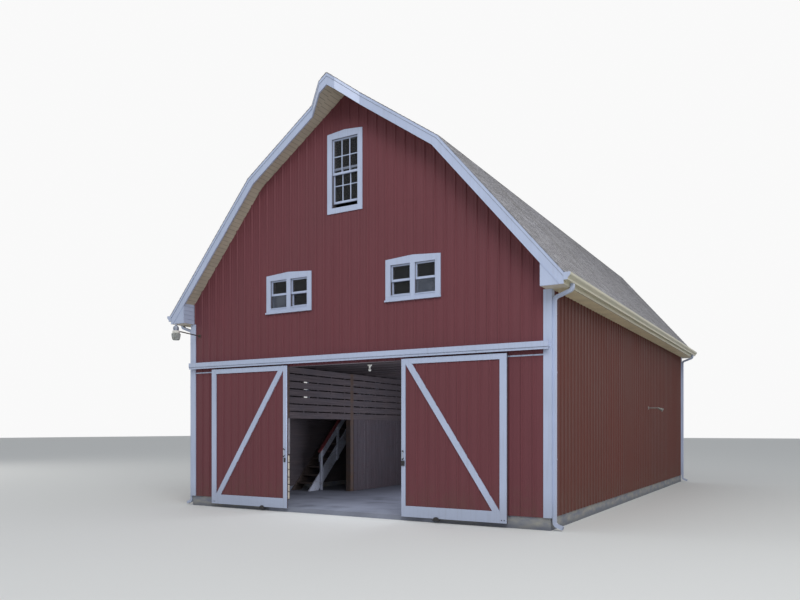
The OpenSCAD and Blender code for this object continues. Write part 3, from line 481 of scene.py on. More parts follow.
def enamelled_gutter():
    # Roll-formed steel gutter with baked white enamel: smooth, with dark runs below its lip.
    # Its cream colour and green patches are painted reflection of the foliage and the ground.
    coat = Coat("enamelled gutter steel", 0.35, colours().gutter)
    # Green patches: painted reflection of the foliage
    coat.over("#a7ab98", coat.patches((0.5, 0.8, 0.3), 0.35, 0.75), 0.5)
    coat.over("#5f5d55", coat.patches((0.03, 0.03, 0.6), 0.55, 0.8, 3.0), 0.25)
    waves = coat.patches((0.2, 0.5, 0.2), 0.2, 0.8, 2.0)
    coat.add("ShaderNodeBump", {"Height": waves, "Distance": 0.0006}, feeds="Normal")
    return coat


def asphalt_shingles():
    # Ceramic granules pressed in asphalt: dead matt, every tab a little lighter or darker and
    # mottled by its mixed granules, with soft stains down the slope. Each tab also runs from dark
    # at its butt to light above it: painted shade that marks the courses. The single granules
    # are drawn 12 mm wide, or none would show.
    coat = Coat("asphalt shingle granules", 0.95, colours().shingle, 0.38)
    coat.over(1.5, coat.add("ShaderNodeAttribute", attribute_name="tone").outputs["Fac"])
    granules = coat.patches(0.012, 0.3, 0.7, 2.0)
    coat.over(0.5, granules, 0.35)
    coat.over(1.7, coat.patches((0.05, 0.05, 0.03), 0.42, 0.6, 1.0), 0.5)
    coat.over("#6b6558", coat.patches((0.9, 0.5, 1.4), 0.4, 0.75), 0.4)
    coat.add("ShaderNodeBump", {"Height": granules, "Distance": 0.0015}, feeds="Normal")
    return coat


def vinyl_soffit(name, colour):
    # Extruded tan vinyl: even colour, low sheen, darkened in its grooves as painted shade.
    coat = Coat(name, 0.55, colour)
    coat.over(0.82, coat.patches(0.4, 0.3, 0.75))
    # Darker along the V grooves: painted shade
    coat.over(0.25, coat.add("ShaderNodeAttribute", attribute_name="groove").outputs["Fac"])
    return coat


def galvanised_steel():
    # Hot-dip galvanised steel: dull grey metal with the patchwork of zinc spangle.
    coat = Coat("galvanised steel", 0.5, "#8d8f92", Metallic=1.0)
    spangle = coat.add("ShaderNodeTexVoronoi", {"Vector": coat.place, "Scale": 60.0})
    coat.over("#b4b6b8", spangle.outputs["Color"])
    coat.over("#6e665c", coat.patches(0.1), 0.4)
    return coat


def blackened_steel(name, grips=False):
    # Black-painted iron fittings with worn, slightly rusty high spots. The grips of the doors'
    # pulls, which stand out furthest, are worn to bare pale metal.
    coat = Coat(name, 0.5, "#1e1e21")
    worn = coat.patches(0.02, 0.5, 0.8)
    coat.over("#4a3a31", worn, 0.6)
    if grips:
        coat.over("#a9adb4", coat.before("Y", GRIP_Y))
    coat.add("ShaderNodeBump", {"Height": worn, "Distance": 0.0005}, feeds="Normal")
    return coat


def float_glass():
    # Float glass in front of an unlit loft: dark, clear and glossy, with a thin film of dust.
    coat = Coat("float glass", 0.05, colours().glass, IOR=1.5, Alpha=0.2)
    coat.over("#4a4e52", coat.patches((0.25, 0.25, 0.4), 0.35, 0.8), 0.5)
    return coat


def barn_boards(name, colour, along):
    # Rough-sawn pine, aged grey-brown: grain streaks along the board, darker knots, dust.
    coat = Coat(name, 0.85, colour, 0.62)
    stretch = [0.018] * 3
    stretch[along] = 0.9
    grain = coat.patches(tuple(stretch), 0.3, 0.7, 6.0)
    coat.over(1.18, grain)
    coat.over("#4c4a50", coat.patches((0.5, 0.5, 0.16), 0.3, 0.7), 0.5)
    knots = coat.add("ShaderNodeTexVoronoi", {"Vector": coat.place, "Scale": 2.6})
    spots = coat.add("ShaderNodeMapRange", {
        "Value": knots.outputs["Distance"], "From Min": 0.09, "From Max": 0.03})
    coat.over(0.35, spots.outputs[0], 0.7)
    coat.add("ShaderNodeBump", {"Height": grain, "Distance": 0.002}, feeds="Normal")
    return coat


def worn_paint(name, colour, wood="#6d5f55", wear=0.5, bare_x=None):
    # Brushed oil paint on softwood, scuffed down to the wood on its edges. Left of bare_x the
    # wood was never painted and has gone dark.
    coat = Coat(name, 0.5, colour)
    scuffs = coat.patches((0.09, 0.09, 0.03), 0.56, 0.66, 8.0)
    coat.over(0.78, coat.patches(0.4, 0.3, 0.7))
    coat.over(wood, scuffs, wear)
    if bare_x is not None:
        left = coat.before("X", bare_x)
        coat.over("#3d3633", left)
        coat.over("#625651", coat.patches((0.02, 0.4, 0.02), 0.3, 0.7, 6.0), left)
    coat.add("ShaderNodeBump", {"Height": scuffs, "Distance": -0.0006}, feeds="Normal")
    return coat


def cast_concrete():
    # Board-formed concrete wall: grey with lighter lime bloom in level bands, damp at its foot,
    # with fine pits.
    coat = Coat("board-formed concrete", 0.9, colours().concrete, 0.86)
    coat.over("#9a988f", coat.patches((0.35, 0.35, 0.12), 0.35, 0.7))
    coat.over(0.5, coat.fade("Z", 0.14, 0.0), 0.7)
    pits = coat.patches(0.02, 0.62, 0.75)
    coat.over(0.55, pits, 0.7)
    coat.add("ShaderNodeBump", {"Height": pits, "Distance": -0.002}, feeds="Normal")
    return coat


def trowelled_concrete():
    # Steel-trowelled floor: smooth and mottled, with dark stains of soil and old oil. It runs
    # from paler near the doorway to darker towards the back: painted shade of the daylight that
    # falls off into the barn.
    coat = Coat("trowelled concrete floor", 0.7, colours().concrete, 0.92)
    mottle = coat.patches(0.6, 0.3, 0.7, 8.0)
    coat.over(1.22, mottle)
    # Darker towards the back: painted shade of the daylight falling off into the barn
    coat.over("#4d4d55", coat.fade("Y", FRONT_Y + 0.5, FRONT_Y + 5.0), 0.55)
    coat.over("#3c3d42", coat.patches((1.1, 0.8, 1.0), 0.56, 0.7), 0.5)
    coat.add("ShaderNodeBump", {"Height": mottle, "Distance": 0.0015}, feeds="Normal")
    return coat


def cast_aluminium(name, dark, light):
    # Cast aluminium left outdoors: grey oxide in patches, little shine.
    coat = Coat(name, 0.5, dark, Metallic=0.6)
    oxide = coat.patches(0.03, 0.3, 0.7)
    coat.over(light, oxide)
    coat.add("ShaderNodeBump", {"Height": oxide, "Distance": 0.0008}, feeds="Normal")
    return coat


def dusted(name, roughness, colour, dust, *patches, **constants):
    """A plain coat under patches of dust."""
    coat = Coat(name, roughness, colour, **constants)
    coat.over(dust, coat.patches(*patches))
    return coat


FINISHES = {
    "siding": lambda: enamelled_siding("enamelled steel siding", colours().siding),
    # The sides' siding: the front's enamel with painted shade and painted warm reflection
    "side siding with painted shade": lambda: enamelled_siding("enamelled side siding with painted shade", colours().siding_side_shade),
    "trim": lambda: coated_trim("coil-coated aluminium trim"),
    "lapped trim": lambda: coated_trim("lapped aluminium panels"),
    # A dark strip in a joint between two boards: a painted shadow line
    "joint": lambda: dusted("painted joint shadow line", 0.9, "#3b3c42", "#57575c", 0.1),
    "gutter": enamelled_gutter,
    "shingles": asphalt_shingles,
    # The underside and cut edges of the roof
    "sheathing": lambda: barn_boards("roof sheathing boards", "#4d443f", 1),
    "soffit": lambda: vinyl_soffit("extruded vinyl soffit", colours().soffit),
    # The eaves' copy of the soffit vinyl, lighter and more yellow: painted warm reflection of the
    # ground
    "eave soffit with painted reflection": lambda: vinyl_soffit("vinyl soffit with painted warm reflection", "#e2d4b0"),
    "galvanised": galvanised_steel,
    "iron": lambda: blackened_steel("blackened iron fittings"),
    "pull iron": lambda: blackened_steel("blackened iron with worn grips", True),
    # Moulded white vinyl, smooth with a soft gloss and dust in the corners
    # The sashes take the trim's white, drawn blue-grey as painted cool shade
    "sash": lambda: dusted("white window vinyl", 0.35, colours().trim, 0.84, 0.15, 0.4, 0.8),
    "glass": float_glass,
    # Woven aluminium insect screen, a grey veil finer than the picture can show
    "screen": lambda: dusted("woven insect screen", 0.6, "#4f5562", "#6a707c", 0.2, Alpha=0.45),
    "boards": lambda: barn_boards("rough-sawn wall boards", colours().boards, 1),
    "cross boards": lambda: barn_boards("rough-sawn cross boards", colours().boards, 0),
    "posts": lambda: barn_boards("rough-sawn posts", "#5e4d43", 2),
    "upright boards": lambda: barn_boards("rough-sawn upright boards", "#51484d", 2),
    "bleached boards": lambda: barn_boards("bleached upright boards", "#a39fa3", 2),
    "stair": lambda: worn_paint("worn white stair paint", colours().stair,
                                bare_x=STAIR_X - 0.039),
    "rail": lambda: worn_paint("worn red rail paint", colours().rail, "#8a7a70", 0.3),
    "cream": lambda: worn_paint("chipped cream paint", "#ded3bd"),
    "lamp iron": lambda: worn_paint("brown enamelled iron", "#4a3f39", "#6a4a38", 0.4),
    "concrete": cast_concrete,
    "floor": trowelled_concrete,
    "aluminium": lambda: cast_aluminium("weathered cast aluminium", "#7d7f80", "#a5a69f"),
    "bright aluminium": lambda: cast_aluminium("polished lamp housing", "#7f8592", "#a8aebb"),
    # Clear prismatic acrylic, yellowed and dusty, that blurs what is behind it
    "acrylic": lambda: dusted("prismatic acrylic", 0.25, "#b9bdbd", "#8a8a80",
                              (0.04, 0.04, 0.08), 0.3, 0.7, Alpha=0.72, IOR=1.49),
    # Glazed white porcelain, with a thin film of dust
    "porcelain": lambda: dusted("glazed porcelain", 0.2, "#e6e4dc", "#bdb9ad", 0.03, 0.4, 0.8),
}


# Siding


def rib_middles(wide):
    """Distances of the ribs' middles from the start of a sheet."""
    pitch = sizes().rib_pitch
    count = int(wide / pitch + 0.01)
    return [(wide - (count - 1) * pitch) / 2 + i * pitch for i in range(count)]


def rib_line(wide):
    """(distance, height) points across a sheet: full ribs, with two low ones between them."""
    ribs = []
    for middle in rib_middles(wide):
        ribs.append((middle, sizes().rib_base / 2, sizes().rib_top / 2, sizes().rib_height))
        ribs += [(middle + third * sizes().rib_pitch / 3, LOW_FOOT, LOW_TOP, LOW_HIGH)
                 for third in (1, 2)]
    points = [(0.0, 0.0)]
    for middle, foot, top, high in ribs[:-2]:
        points += [(middle - foot, 0.0), (middle - top, high), (middle + top, high),
                   (middle + foot, 0.0)]
    return points + [(wide, 0.0)]


def add_siding(bm, start, along, out, wide, high_z, lift=LIFT):
    """Adds a ribbed sheet that stands on start and reaches up to high_z."""
    start, along, out = Vector(start), Vector(along), Vector(out)
    line = [start + along * u + out * (w + lift) for u, w in rib_line(wide)]
    add_sheet(bm, line, (0, 0, high_z - start.z))


def trim_to_roof(bm):
    """Cuts an end wall's sheet along the roof's four lines."""
    for side in (-1, 1):
        cut(bm, (0, 0, upper_z(0, SOFFIT_D)), slope_axes(side, UPPER)[1])
        cut(bm, (side * BREAK_X, 0, lower_z(BREAK_X, SOFFIT_D)), slope_axes(side, LOWER)[1])


def small_lights():
    """The four lights of the small windows, as (x0, x1)."""
    step = (MULLION_W + LIGHT_W) / 2
    return [(x + side * step - LIGHT_W / 2, x + side * step + LIGHT_W / 2)
            for x in WINDOW_XS for side in (-1, 1)]


def end_openings():
    """Openings of an end wall as (x0, x1, z0, z1)."""
    return [LOFT_WINDOW] + [(x0, x1, LIGHT_Z, LIGHT_Z + LIGHT_D) for x0, x1 in small_lights()]


def screw_rows(high):
    """Heights of the rows of screws below a height."""
    pitch, first, last = sizes().girt_pitch, BASE_Z + 0.08, high - 0.07
    return [first + i * pitch for i in range(int((last - first) / pitch) + 1)]


def add_screw(bm, place, out):
    """Adds a hex screw head with its washer's flare."""
    turn = Vector((0, 0, 1)).rotation_difference(Vector(out)).to_matrix().to_4x4()
    bmesh.ops.create_cone(
        bm, cap_ends=True, segments=6, radius1=0.0075, radius2=0.0042, depth=0.006,
        matrix=Matrix.Translation(Vector(place) + Vector(out) * 0.0045) @ turn,
    )


def screw_fits(axis, u, z, edge, openings):
    """Whether a screw is clear of a wall's corners, its openings and the roof."""
    roof = min(upper_z(u, SOFFIT_D), lower_z(u, SOFFIT_D)) - 0.05
    near = any(u0 - SCREW_CLEAR < u < u1 + SCREW_CLEAR and z0 - SCREW_CLEAR < z < z1 + SCREW_CLEAR
               for u0, u1, z0, z1 in openings)
    return abs(u) < edge and not near and (axis == 1 or z < roof)


class BARN_OT_siding(bpy.types.Operator):
    """Ribbed steel siding of all four walls, with its screws"""

    bl_idname = "barn.siding"
    bl_label = "Siding"

    def execute(self, context):
        self.ends()
        self.sides()
        self.screws()
        dress("cross boards", "front_wall_left", "front_wall_right", "front_gable", "back_wall")
        dress("boards", "left_wall", "right_wall")
        return {"FINISHED"}

    def ends(self):
        """Front and back, each a lower and an upper panel that laps it."""
        edge = HALF_W - CORNER_W + TUCK
        corners = [(-HALF_W - 1, -edge, 0, SOFFIT_Z), (edge, HALF_W + 1, 0, SOFFIT_Z)]
        strips = [(*sorted((side * DOORWAY_X, side * (HALF_W - CORNER_W))), *STRIP)
                  for side in (-1, 1)]
        for name, y, out, openings in (
            ("siding_front", FRONT_Y, -1, end_openings() + corners + [DOORWAY] + strips),
            ("siding_back", BACK_Y, 1, end_openings() + corners),
        ):
            bm = bmesh.new()
            for foot, head, lift in ((BASE_Z, LAP_Z + LAP, LIFT), (LAP_Z, RIDGE_Z, UPPER_LIFT)):
                add_siding(bm, (-HALF_W, y, foot), (1, 0, 0), (0, out, 0), 2 * HALF_W, head, lift)
            trim_to_roof(bm)
            for opening in openings:
                cut_opening(bm, 0, *opening)
            thicken(bm, SHEET_T)
            make_piece(name, bm, "siding", sheet=True)

    def sides(self):
        """Long walls, their ends behind the corner boards."""
        for name, side, openings in (("siding_left", -1, [STAIR_WINDOW]), ("siding_right", 1, [])):
            bm = bmesh.new()
            add_siding(bm, (side * HALF_W, FRONT_Y, BASE_Z), (0, 1, 0), (side, 0, 0),
                       BACK_Y - FRONT_Y, SOFFIT_Z)
            for end in (-1, 1):
                cut(bm, (0, end * (BACK_Y - CORNER_W + TUCK), 0), (0, end, 0))
            for opening in openings:
                cut_opening(bm, 1, *opening)
            thicken(bm, SHEET_T)
            # The side walls take the siding with painted shade and painted warm reflection
            make_piece(name, bm, "side siding with painted shade", sheet=True)

    def screws(self):
        """Level rows of screws, one beside every rib."""
        bm = bmesh.new()
        x_edge, y_edge = HALF_W - CORNER_W, BACK_Y - CORNER_W - 0.02
        beside = sizes().rib_base / 2 + 0.012
        for axis, wall, half, edge, high, openings in (
            (0, FRONT_Y, HALF_W, x_edge, RIDGE_Z, end_openings() + [DOORWAY, COVER]),
            (0, BACK_Y, HALF_W, x_edge, RIDGE_Z, end_openings()),
            (1, -HALF_W, BACK_Y, y_edge, SOFFIT_Z, [STAIR_WINDOW]),
            (1, HALF_W, BACK_Y, y_edge, SOFFIT_Z, []),
        ):
            for middle in rib_middles(2 * half):
                u = middle - half + beside
                for z in screw_rows(high):
                    if screw_fits(axis, u, z, edge, openings):
                        place, out = [wall, wall, z], [0.0, 0.0, 0.0]
                        place[axis], out[1 - axis] = u, math.copysign(1.0, wall)
                        add_screw(bm, place, out)
        make_piece("siding_screws", bm, "siding")


# Roofing


def tab_frame(side, angle, x, z):
    """A matrix for a slope: X along the building, Y up the slope, Z away from the roof."""
    turn = Matrix((Vector((0, 1, 0)), *slope_axes(side, angle))).transposed()
    return Matrix.Translation((side * x, 0, z)) @ turn.to_4x4()


def lay_tabs(bm, tones, rng, place, courses, y0, y1, first=0):
    """Lays courses of shingle tabs from the slope's foot up, each over the one below."""
    step, wide = sizes().exposure, sizes().tab_width
    thick, slot, lap = 0.006, 0.007, 1.24
    tilt = Matrix.Rotation(-math.asin(thick / step), 4, "X")
    up = place.to_3x3() @ Vector((0, 1, 0))
    for course in range(first, courses):
        y = y0 - wide * (0.5 if course % 2 else 1.0)
        while y < y1:
            lift = rng.uniform(0, 0.0015)
            spot = (y + wide / 2, (course + lap / 2) * step, thick + lift)
            size = Matrix.Diagonal((wide - slot, step * lap, thick, 1.0))
            made = bmesh.ops.create_cube(
                bm, size=1.0, matrix=place @ Matrix.Translation(spot) @ tilt @ size)
            tone = rng.uniform(0.15, 0.75) + (0.15 if course % 3 == 0 else 0.0)
            middle = place @ Vector(spot)
            for vert in made["verts"]:
                # Butts darker, tops lighter: painted shade that marks each course
                butt = (vert.co - middle).dot(up) < 0
                vert[tones] = tone * 0.1 if butt else tone * 1.4
            y += wide


class BARN_OT_roofing(bpy.types.Operator):
    """Asphalt shingles of the four slopes, laid tab by tab, the ridge's caps and the drip edges"""

    bl_idname = "barn.roofing"
    bl_label = "Roofing"

    def execute(self, context):
        for side, word in ((-1, "left"), (1, "right")):
            for part, angle, x, line, top in (
                ("lower", LOWER, EAVE_X + LOWER_REACH, lower_z, (BREAK_X, BREAK_Z)),
                ("upper", UPPER, BREAK_X + UPPER_REACH, upper_z, (0.0, RIDGE_Z)),
            ):
                rng = random.Random(f"{word} {part}")
                bm = bmesh.new()
                tones = bm.verts.layers.float.new("tone")
                place = tab_frame(side, angle, x, line(x))
                reach = math.hypot(x - top[0], line(x) - top[1])
                courses = math.ceil(reach / sizes().exposure)
                lay_tabs(bm, tones, rng, place, courses, RAKE_FRONT, RAKE_BACK)
                cut(bm, (0, RAKE_FRONT - OVERHANG, 0), (0, -1, 0))
                cut(bm, (0, RAKE_BACK + OVERHANG, 0), (0, 1, 0))
                if part == "upper":
                    self.hood(bm, rng, place, side, courses)
                cut(bm, place @ Vector((0, reach - 0.004, 0)), slope_axes(side, angle)[0])
                close_cuts(bm)
                make_piece(f"shingles_{part}_{word}", bm, "shingles")
        self.ridge()
        self.gable_bands("drip_edges", "trim", [(0.004, 0.052), (FASCIA_D - 0.014, FASCIA_D)],
                         0.008)
        # Dark strips under the drip edges: painted shadow lines
        self.gable_bands("drip_shadows", "joint", [(0.052, 0.057)], 0.001)
        dress("sheathing", "roof_upper_left", "roof_upper_right", "roof_lower_left",
              "roof_lower_right")
        return {"FINISHED"}

    def hood(self, bm, rng, place, side, courses):
        """Tabs over the hay hood, cut along its slanted edge."""
        part = bmesh.new()
        tones = part.verts.layers.float.new("tone")
        skip = int(courses * (1 - (HOOD_ROOT + 0.05) / BREAK_X)) - 1
        lay_tabs(part, tones, rng, place, courses, HOOD_Y - 0.1, RAKE_FRONT - OVERHANG, skip)
        cut(part, (0, HOOD_Y - OVERHANG, 0), (0, -1, 0))
        cut(part, (0, RAKE_FRONT - OVERHANG, 0), (0, 1, 0))
        out = hood_side(side)
        cut(part, Vector((side * HOOD_TIP, HOOD_Y, 0)) + out * OVERHANG, out)
        close_cuts(part)
        take(bm, part)

    def ridge(self):
        """Cap shingles bent over the ridge, each lapping the next."""
        bm = bmesh.new()
        tones = bm.verts.layers.float.new("tone")
        rng = random.Random("ridge")
        step, long, wide, thick = 0.127, 0.26, 0.15, 0.005
        y, last = HOOD_Y - OVERHANG, RAKE_BACK + OVERHANG
        while y < last - 0.05:
            tone = rng.random()
            for side in (-1, 1):
                up, away = slope_axes(side, UPPER)
                points = []
                for end, lift in ((y, 0.011), (min(y + long, last), 0.006)):
                    top = Vector((0, end, RIDGE_Z)) + away * lift
                    points += [top, top - up * wide, top + away * thick,
                               top - up * wide + away * thick]
                for vert in add_hull(bm, points):
                    vert[tones] = tone
            y += step
        make_piece("ridge_caps", bm, "shingles", replaces=["ridge_cap"])

    def gable_bands(self, name, look, bands, proud):
        """Bands along the gable boards, each between two depths below the roof's top."""
        bm = bmesh.new()
        for d0, d1 in bands:
            a, b = meet_x(d0), meet_x(d1)
            foot = min(EAVE_X, BREAK_X + (BREAK_Z - d1 / math.cos(LOWER) - SOFFIT_Z)
                       / math.tan(LOWER))
            for side in (-1, 1):
                for y, out, root in ((RAKE_FRONT, -proud, HOOD_ROOT), (RAKE_BACK, proud, 0.0)):
                    for line in (
                        [(root, upper_z(root, d0)), (a, upper_z(a, d0)), (b, upper_z(b, d1)),
                         (root, upper_z(root, d1))],
                        [(a, lower_z(a, d0)), (foot, lower_z(foot, d0)), (foot, lower_z(foot, d1)),
                         (b, lower_z(b, d1))],
                    ):
                        add_hull(bm, [(side * x, yy, z) for x, z in line for yy in (y, y + out)])
                for ends, out in (
                    (((HOOD_TIP, HOOD_Y), (HOOD_ROOT, RAKE_FRONT)), hood_side(side) * proud),
                    (((0, HOOD_Y), (HOOD_TIP, HOOD_Y)), Vector((0, -proud, 0))),
                ):
                    face = [Vector((side * x, y, upper_z(x, d))) for x, y in ends
                            for d in (d0, d1)]
                    add_hull(bm, face + [p + out for p in face])
        make_piece(name, bm, look)


# Soffits


def bead_line(p0, p1, up):
    """Points from p0 to p1 with V grooves that cut in the direction up."""
    p0, p1, up = Vector(p0), Vector(p1), Vector(up)
    along = (p1 - p0).normalized()
    pitch, wide, deep = sizes().bead_pitch, 0.005, 0.006
    points = [p0]
    for i in range(1, int((p1 - p0).length / pitch) + 1):
        middle = p0 + along * i * pitch
        if (p1 - middle).length > wide:
            points += [middle - along * wide, middle + up * deep, middle + along * wide]
    points.append(p1)
    return points


class BARN_OT_soffits(bpy.types.Operator):
    """Beaded soffits under the gable edges, the hay hood and the eaves, and the returns' sides"""

    bl_idname = "barn.soffits"
    bl_label = "Soffits"

    def execute(self, context):
        self.rakes()
        self.eaves()
        self.return_sides()
        dress("soffit", "eave_returns")
        return {"FINISHED"}

    def return_sides(self):
        """White lapped panels on the sides of the returns that face each other."""
        bm = bmesh.new()
        groove = bm.verts.layers.float.new("groove")
        low, high = SOFFIT_Z + 0.004, lower_z(RETURN_X, SOFFIT_D) - 0.004
        for wall, front in GABLE_EDGES:
            for side in (-1, 1):
                x = side * (RETURN_X - 0.002)
                add_sheet(bm, bead_line((x, front, low), (x, front, high), (side, 0, 0)),
                          (0, wall - front, 0), groove)
        thicken(bm, 0.003)
        make_piece("return_sides", bm, "lapped trim", sheet=True)

    def rakes(self):
        """Soffits along the gable edges and under the hay hood."""
        bm = bmesh.new()
        groove = bm.verts.layers.float.new("groove")
        joint = meet_x(SOFFIT_D)
        for side in (-1, 1):
            flat, steep = slope_axes(side, UPPER)[1], slope_axes(side, LOWER)[1]
            for y0, y1 in GABLE_EDGES:
                self.slope(bm, groove, side, (joint, 0), upper_z, flat, y0, y1)
                self.slope(bm, groove, side, (RETURN_X, joint), lower_z, steep, y0, y1)
            hood = bmesh.new()
            mark = hood.verts.layers.float.new("groove")
            self.slope(hood, mark, side, (HOOD_ROOT, 0), upper_z, flat, RAKE_FRONT + FASCIA_T,
                       HOOD_Y + FASCIA_T)
            out = hood_side(side)
            cut(hood, Vector((side * HOOD_TIP, HOOD_Y, 0)) - out * FASCIA_T, out)
            take(bm, hood)
        thicken(bm, VINYL_T, down=True)
        make_piece("rake_soffit_panels", bm, "soffit", replaces=["rake_soffits"],
                   sheet=True)

    def slope(self, bm, groove, side, xs, line, up, y0, y1):
        """Adds a beaded sheet along one of the roof's lines, between two y."""
        ends = [(side * x, y0, line(x, SOFFIT_D)) for x in xs]
        add_sheet(bm, bead_line(*ends, up), (0, y1 - y0, 0), groove)

    def eaves(self):
        """Level soffits along the eaves."""
        bm = bmesh.new()
        groove = bm.verts.layers.float.new("groove")
        for side in (-1, 1):
            x0, x1 = side * HALF_W, side * (EAVE_X - FASCIA_T)
            add_sheet(bm, bead_line((x0, FRONT_Y, SOFFIT_Z), (x0, BACK_Y, SOFFIT_Z), (0, 0, 1)),
                      (x1 - x0, 0, 0), groove)
        thicken(bm, VINYL_T, down=True)
        # Its finish is the soffit vinyl with painted warm reflection
        make_piece("eave_soffit_panels", bm, "eave soffit with painted reflection", replaces=["eave_soffits"],
                   sheet=True)


# Trim, gutters and concrete


class BARN_OT_trim(bpy.types.Operator):
    """White boards round the roof, the corners and the doors' track"""

    bl_idname = "barn.trim"
    bl_label = "Trim"

    def execute(self, context):
        dress("trim", "corner_boards", "seam_strips", "rake_fascia_front", "rake_fascia_back",
              "track_cover", "window_casings")
        # The white eave fascias take the gutters' cream: painted reflection
        dress("gutter", "eave_fascias")
        dress("galvanised", "door_track")
        low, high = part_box("track_cover")
        # A dark strip at the foot of the track cover's face: painted shadow line above its lip
        bm = bmesh.new()
        add_box(bm, (low.x, low.y - 0.0008, COVER_LIP - 0.003), (high.x, low.y + 0.002, COVER_LIP))
        make_piece("cover_shadow_line", bm, "joint")
        return {"FINISHED"}


class BARN_OT_gutters(bpy.types.Operator):
    """Gutters with their hangers and caps, and downspouts with their straps"""

    bl_idname = "barn.gutters"
    bl_label = "Gutters"

    def execute(self, context):
        dress("gutter", "gutters")
        dress("trim", "downspouts")
        low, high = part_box("gutters")
        self.hangers(high.z)
        self.straps()
        self.end_caps(low, high)
        return {"FINISHED"}

    def hangers(self, top):
        """Hidden hangers across the gutter's mouth."""
        bm = bmesh.new()
        y, pitch, half, wide = RAKE_FRONT + 0.3, 0.61, 0.060, 0.022
        while y < RAKE_BACK:
            for middle in (-EAVE_X - 0.063, EAVE_X + 0.063):
                add_box(bm, (middle - half, y, top - 0.020), (middle + half, y + wide, top - 0.014))
            y += pitch
        make_piece("gutter_hangers", bm, "gutter")

    def end_caps(self, low, high):
        """White caps on the gutters' ends, with the outline of the CAD's ends."""
        bm = bmesh.new()
        bm.from_mesh(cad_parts["gutters"].data)
        inner = [f for f in bm.faces if abs(f.normal.y) < 0.9
                 or low.y + 0.0005 < f.calc_center_median().y < high.y - 0.0005]
        bmesh.ops.delete(bm, geom=inner, context="FACES")
        for face in bm.faces:
            bmesh.ops.translate(bm, verts=face.verts, vec=face.normal * 0.0006)
        for vert in bmesh.ops.extrude_face_region(bm, geom=bm.faces[:])["geom"]:
            if isinstance(vert, bmesh.types.BMVert):
                vert.co.y += 0.003 if vert.co.y > 0 else -0.003
        make_piece("gutter_caps", bm, "trim")

    def straps(self):
        """Straps round the downspouts and the raised seams where their elbows start."""
        bm = bmesh.new()
        for x in (-HALF_W - SPOUT_OUT, HALF_W + SPOUT_OUT):
            for y in (FRONT_Y + SPOUT_IN, BACK_Y - SPOUT_IN):
                for z, tall in ((1.30, 0.030), (2.90, 0.030), (0.185, 0.012), (3.98, 0.012)):
                    add_box(bm, (x - 0.033, y - 0.0445, z), (x + 0.033, y + 0.0445, z + tall),
                            0.001)
        make_piece("downspout_straps", bm, "trim")


class BARN_OT_concrete(bpy.types.Operator):
    """Concrete base and floor"""

    bl_idname = "barn.concrete"
    bl_label = "Concrete"

    def execute(self, context):
        dress("concrete", "foundation")
        dress("floor", "floor_slab")
        return {"FINISHED"}


# Windows


def sash_panes(x0, x1, z0, z1, lift):
    """The two glazed areas of an opening as (x0, x1, z0, z1, distance behind the siding)."""
    foot = (z0 + z1 - SASH_RAIL) / 2
    deep = SASH_IN + SASH_T + SASH_GAP
    return [
        (x0 + SASH_W, x1 - SASH_W, foot + SASH_RAIL, z1 - SASH_W, SASH_IN),
        (x0 + SASH_W, x1 - SASH_W, z0 + lift + SASH_RAIL, foot + lift, deep),
    ]


class BARN_OT_windows(bpy.types.Operator):
    """Sashes and panes, the loft windows' bars and the small windows' ledges and screens"""

    bl_idname = "barn.windows"
    bl_label = "Windows"

    def execute(self, context):
        dress("sash", "window_sashes")
        dress("glass", "window_glass")
        self.bars()
        self.ledges()
        self.screens()
        return {"FINISHED"}

    def bars(self):
        """Two upright bars and a level one in each sash of the loft windows."""
        bm = bmesh.new()
        half, inset, ease = sizes().bar_width / 2, 0.006, 0.003
        for y, out, lift in ((FRONT_Y, -1, SASH_RAISE), (BACK_Y, 1, 0.0)):
            for x0, x1, z0, z1, deep in sash_panes(*LOFT_WINDOW, lift):
                ys = sorted((y - out * (deep + inset), y - out * (deep + SASH_T - inset)))
                for x in (x0 + (x1 - x0) / 3, x0 + (x1 - x0) * 2 / 3):
                    add_box(bm, (x - half, ys[0], z0), (x + half, ys[1], z1), ease)
                z = (z0 + z1) / 2
                add_box(bm, (x0, ys[0] + 0.001, z - half), (x1, ys[1] - 0.001, z + half), ease)
        make_piece("window_bars", bm, "sash")

    def ledges(self):
        """Sloping ledges at the foot of the small windows' lights."""
        bm = bmesh.new()
        for y, out in ((FRONT_Y, -1), (BACK_Y, 1)):
            for x0, x1 in small_lights():
                add_hull(bm, [(x, y + out * d, LIGHT_Z + z) for x in (x0 + 0.001, x1 - 0.001)
                              for d, z in ((0.036, -0.012), (0.036, 0.006), (-0.018, 0.020),
                                           (-0.018, 0.001), (0.025, -0.012))])
        make_piece("window_ledges", bm, "trim")

    def screens(self):
        """Screens in front of the outer lights' lower sashes."""
        bm = bmesh.new()
        foot = LIGHT_Z + (LIGHT_D - SASH_RAIL) / 2
        for x0, x1 in (small_lights()[0], small_lights()[-1]):
            add_box(bm, (x0 + 0.004, FRONT_Y + SASH_IN + 0.008, LIGHT_Z + 0.022),
                    (x1 - 0.004, FRONT_Y + SASH_IN + 0.010, foot))
        make_piece("window_screens", bm, "screen")


# Doors


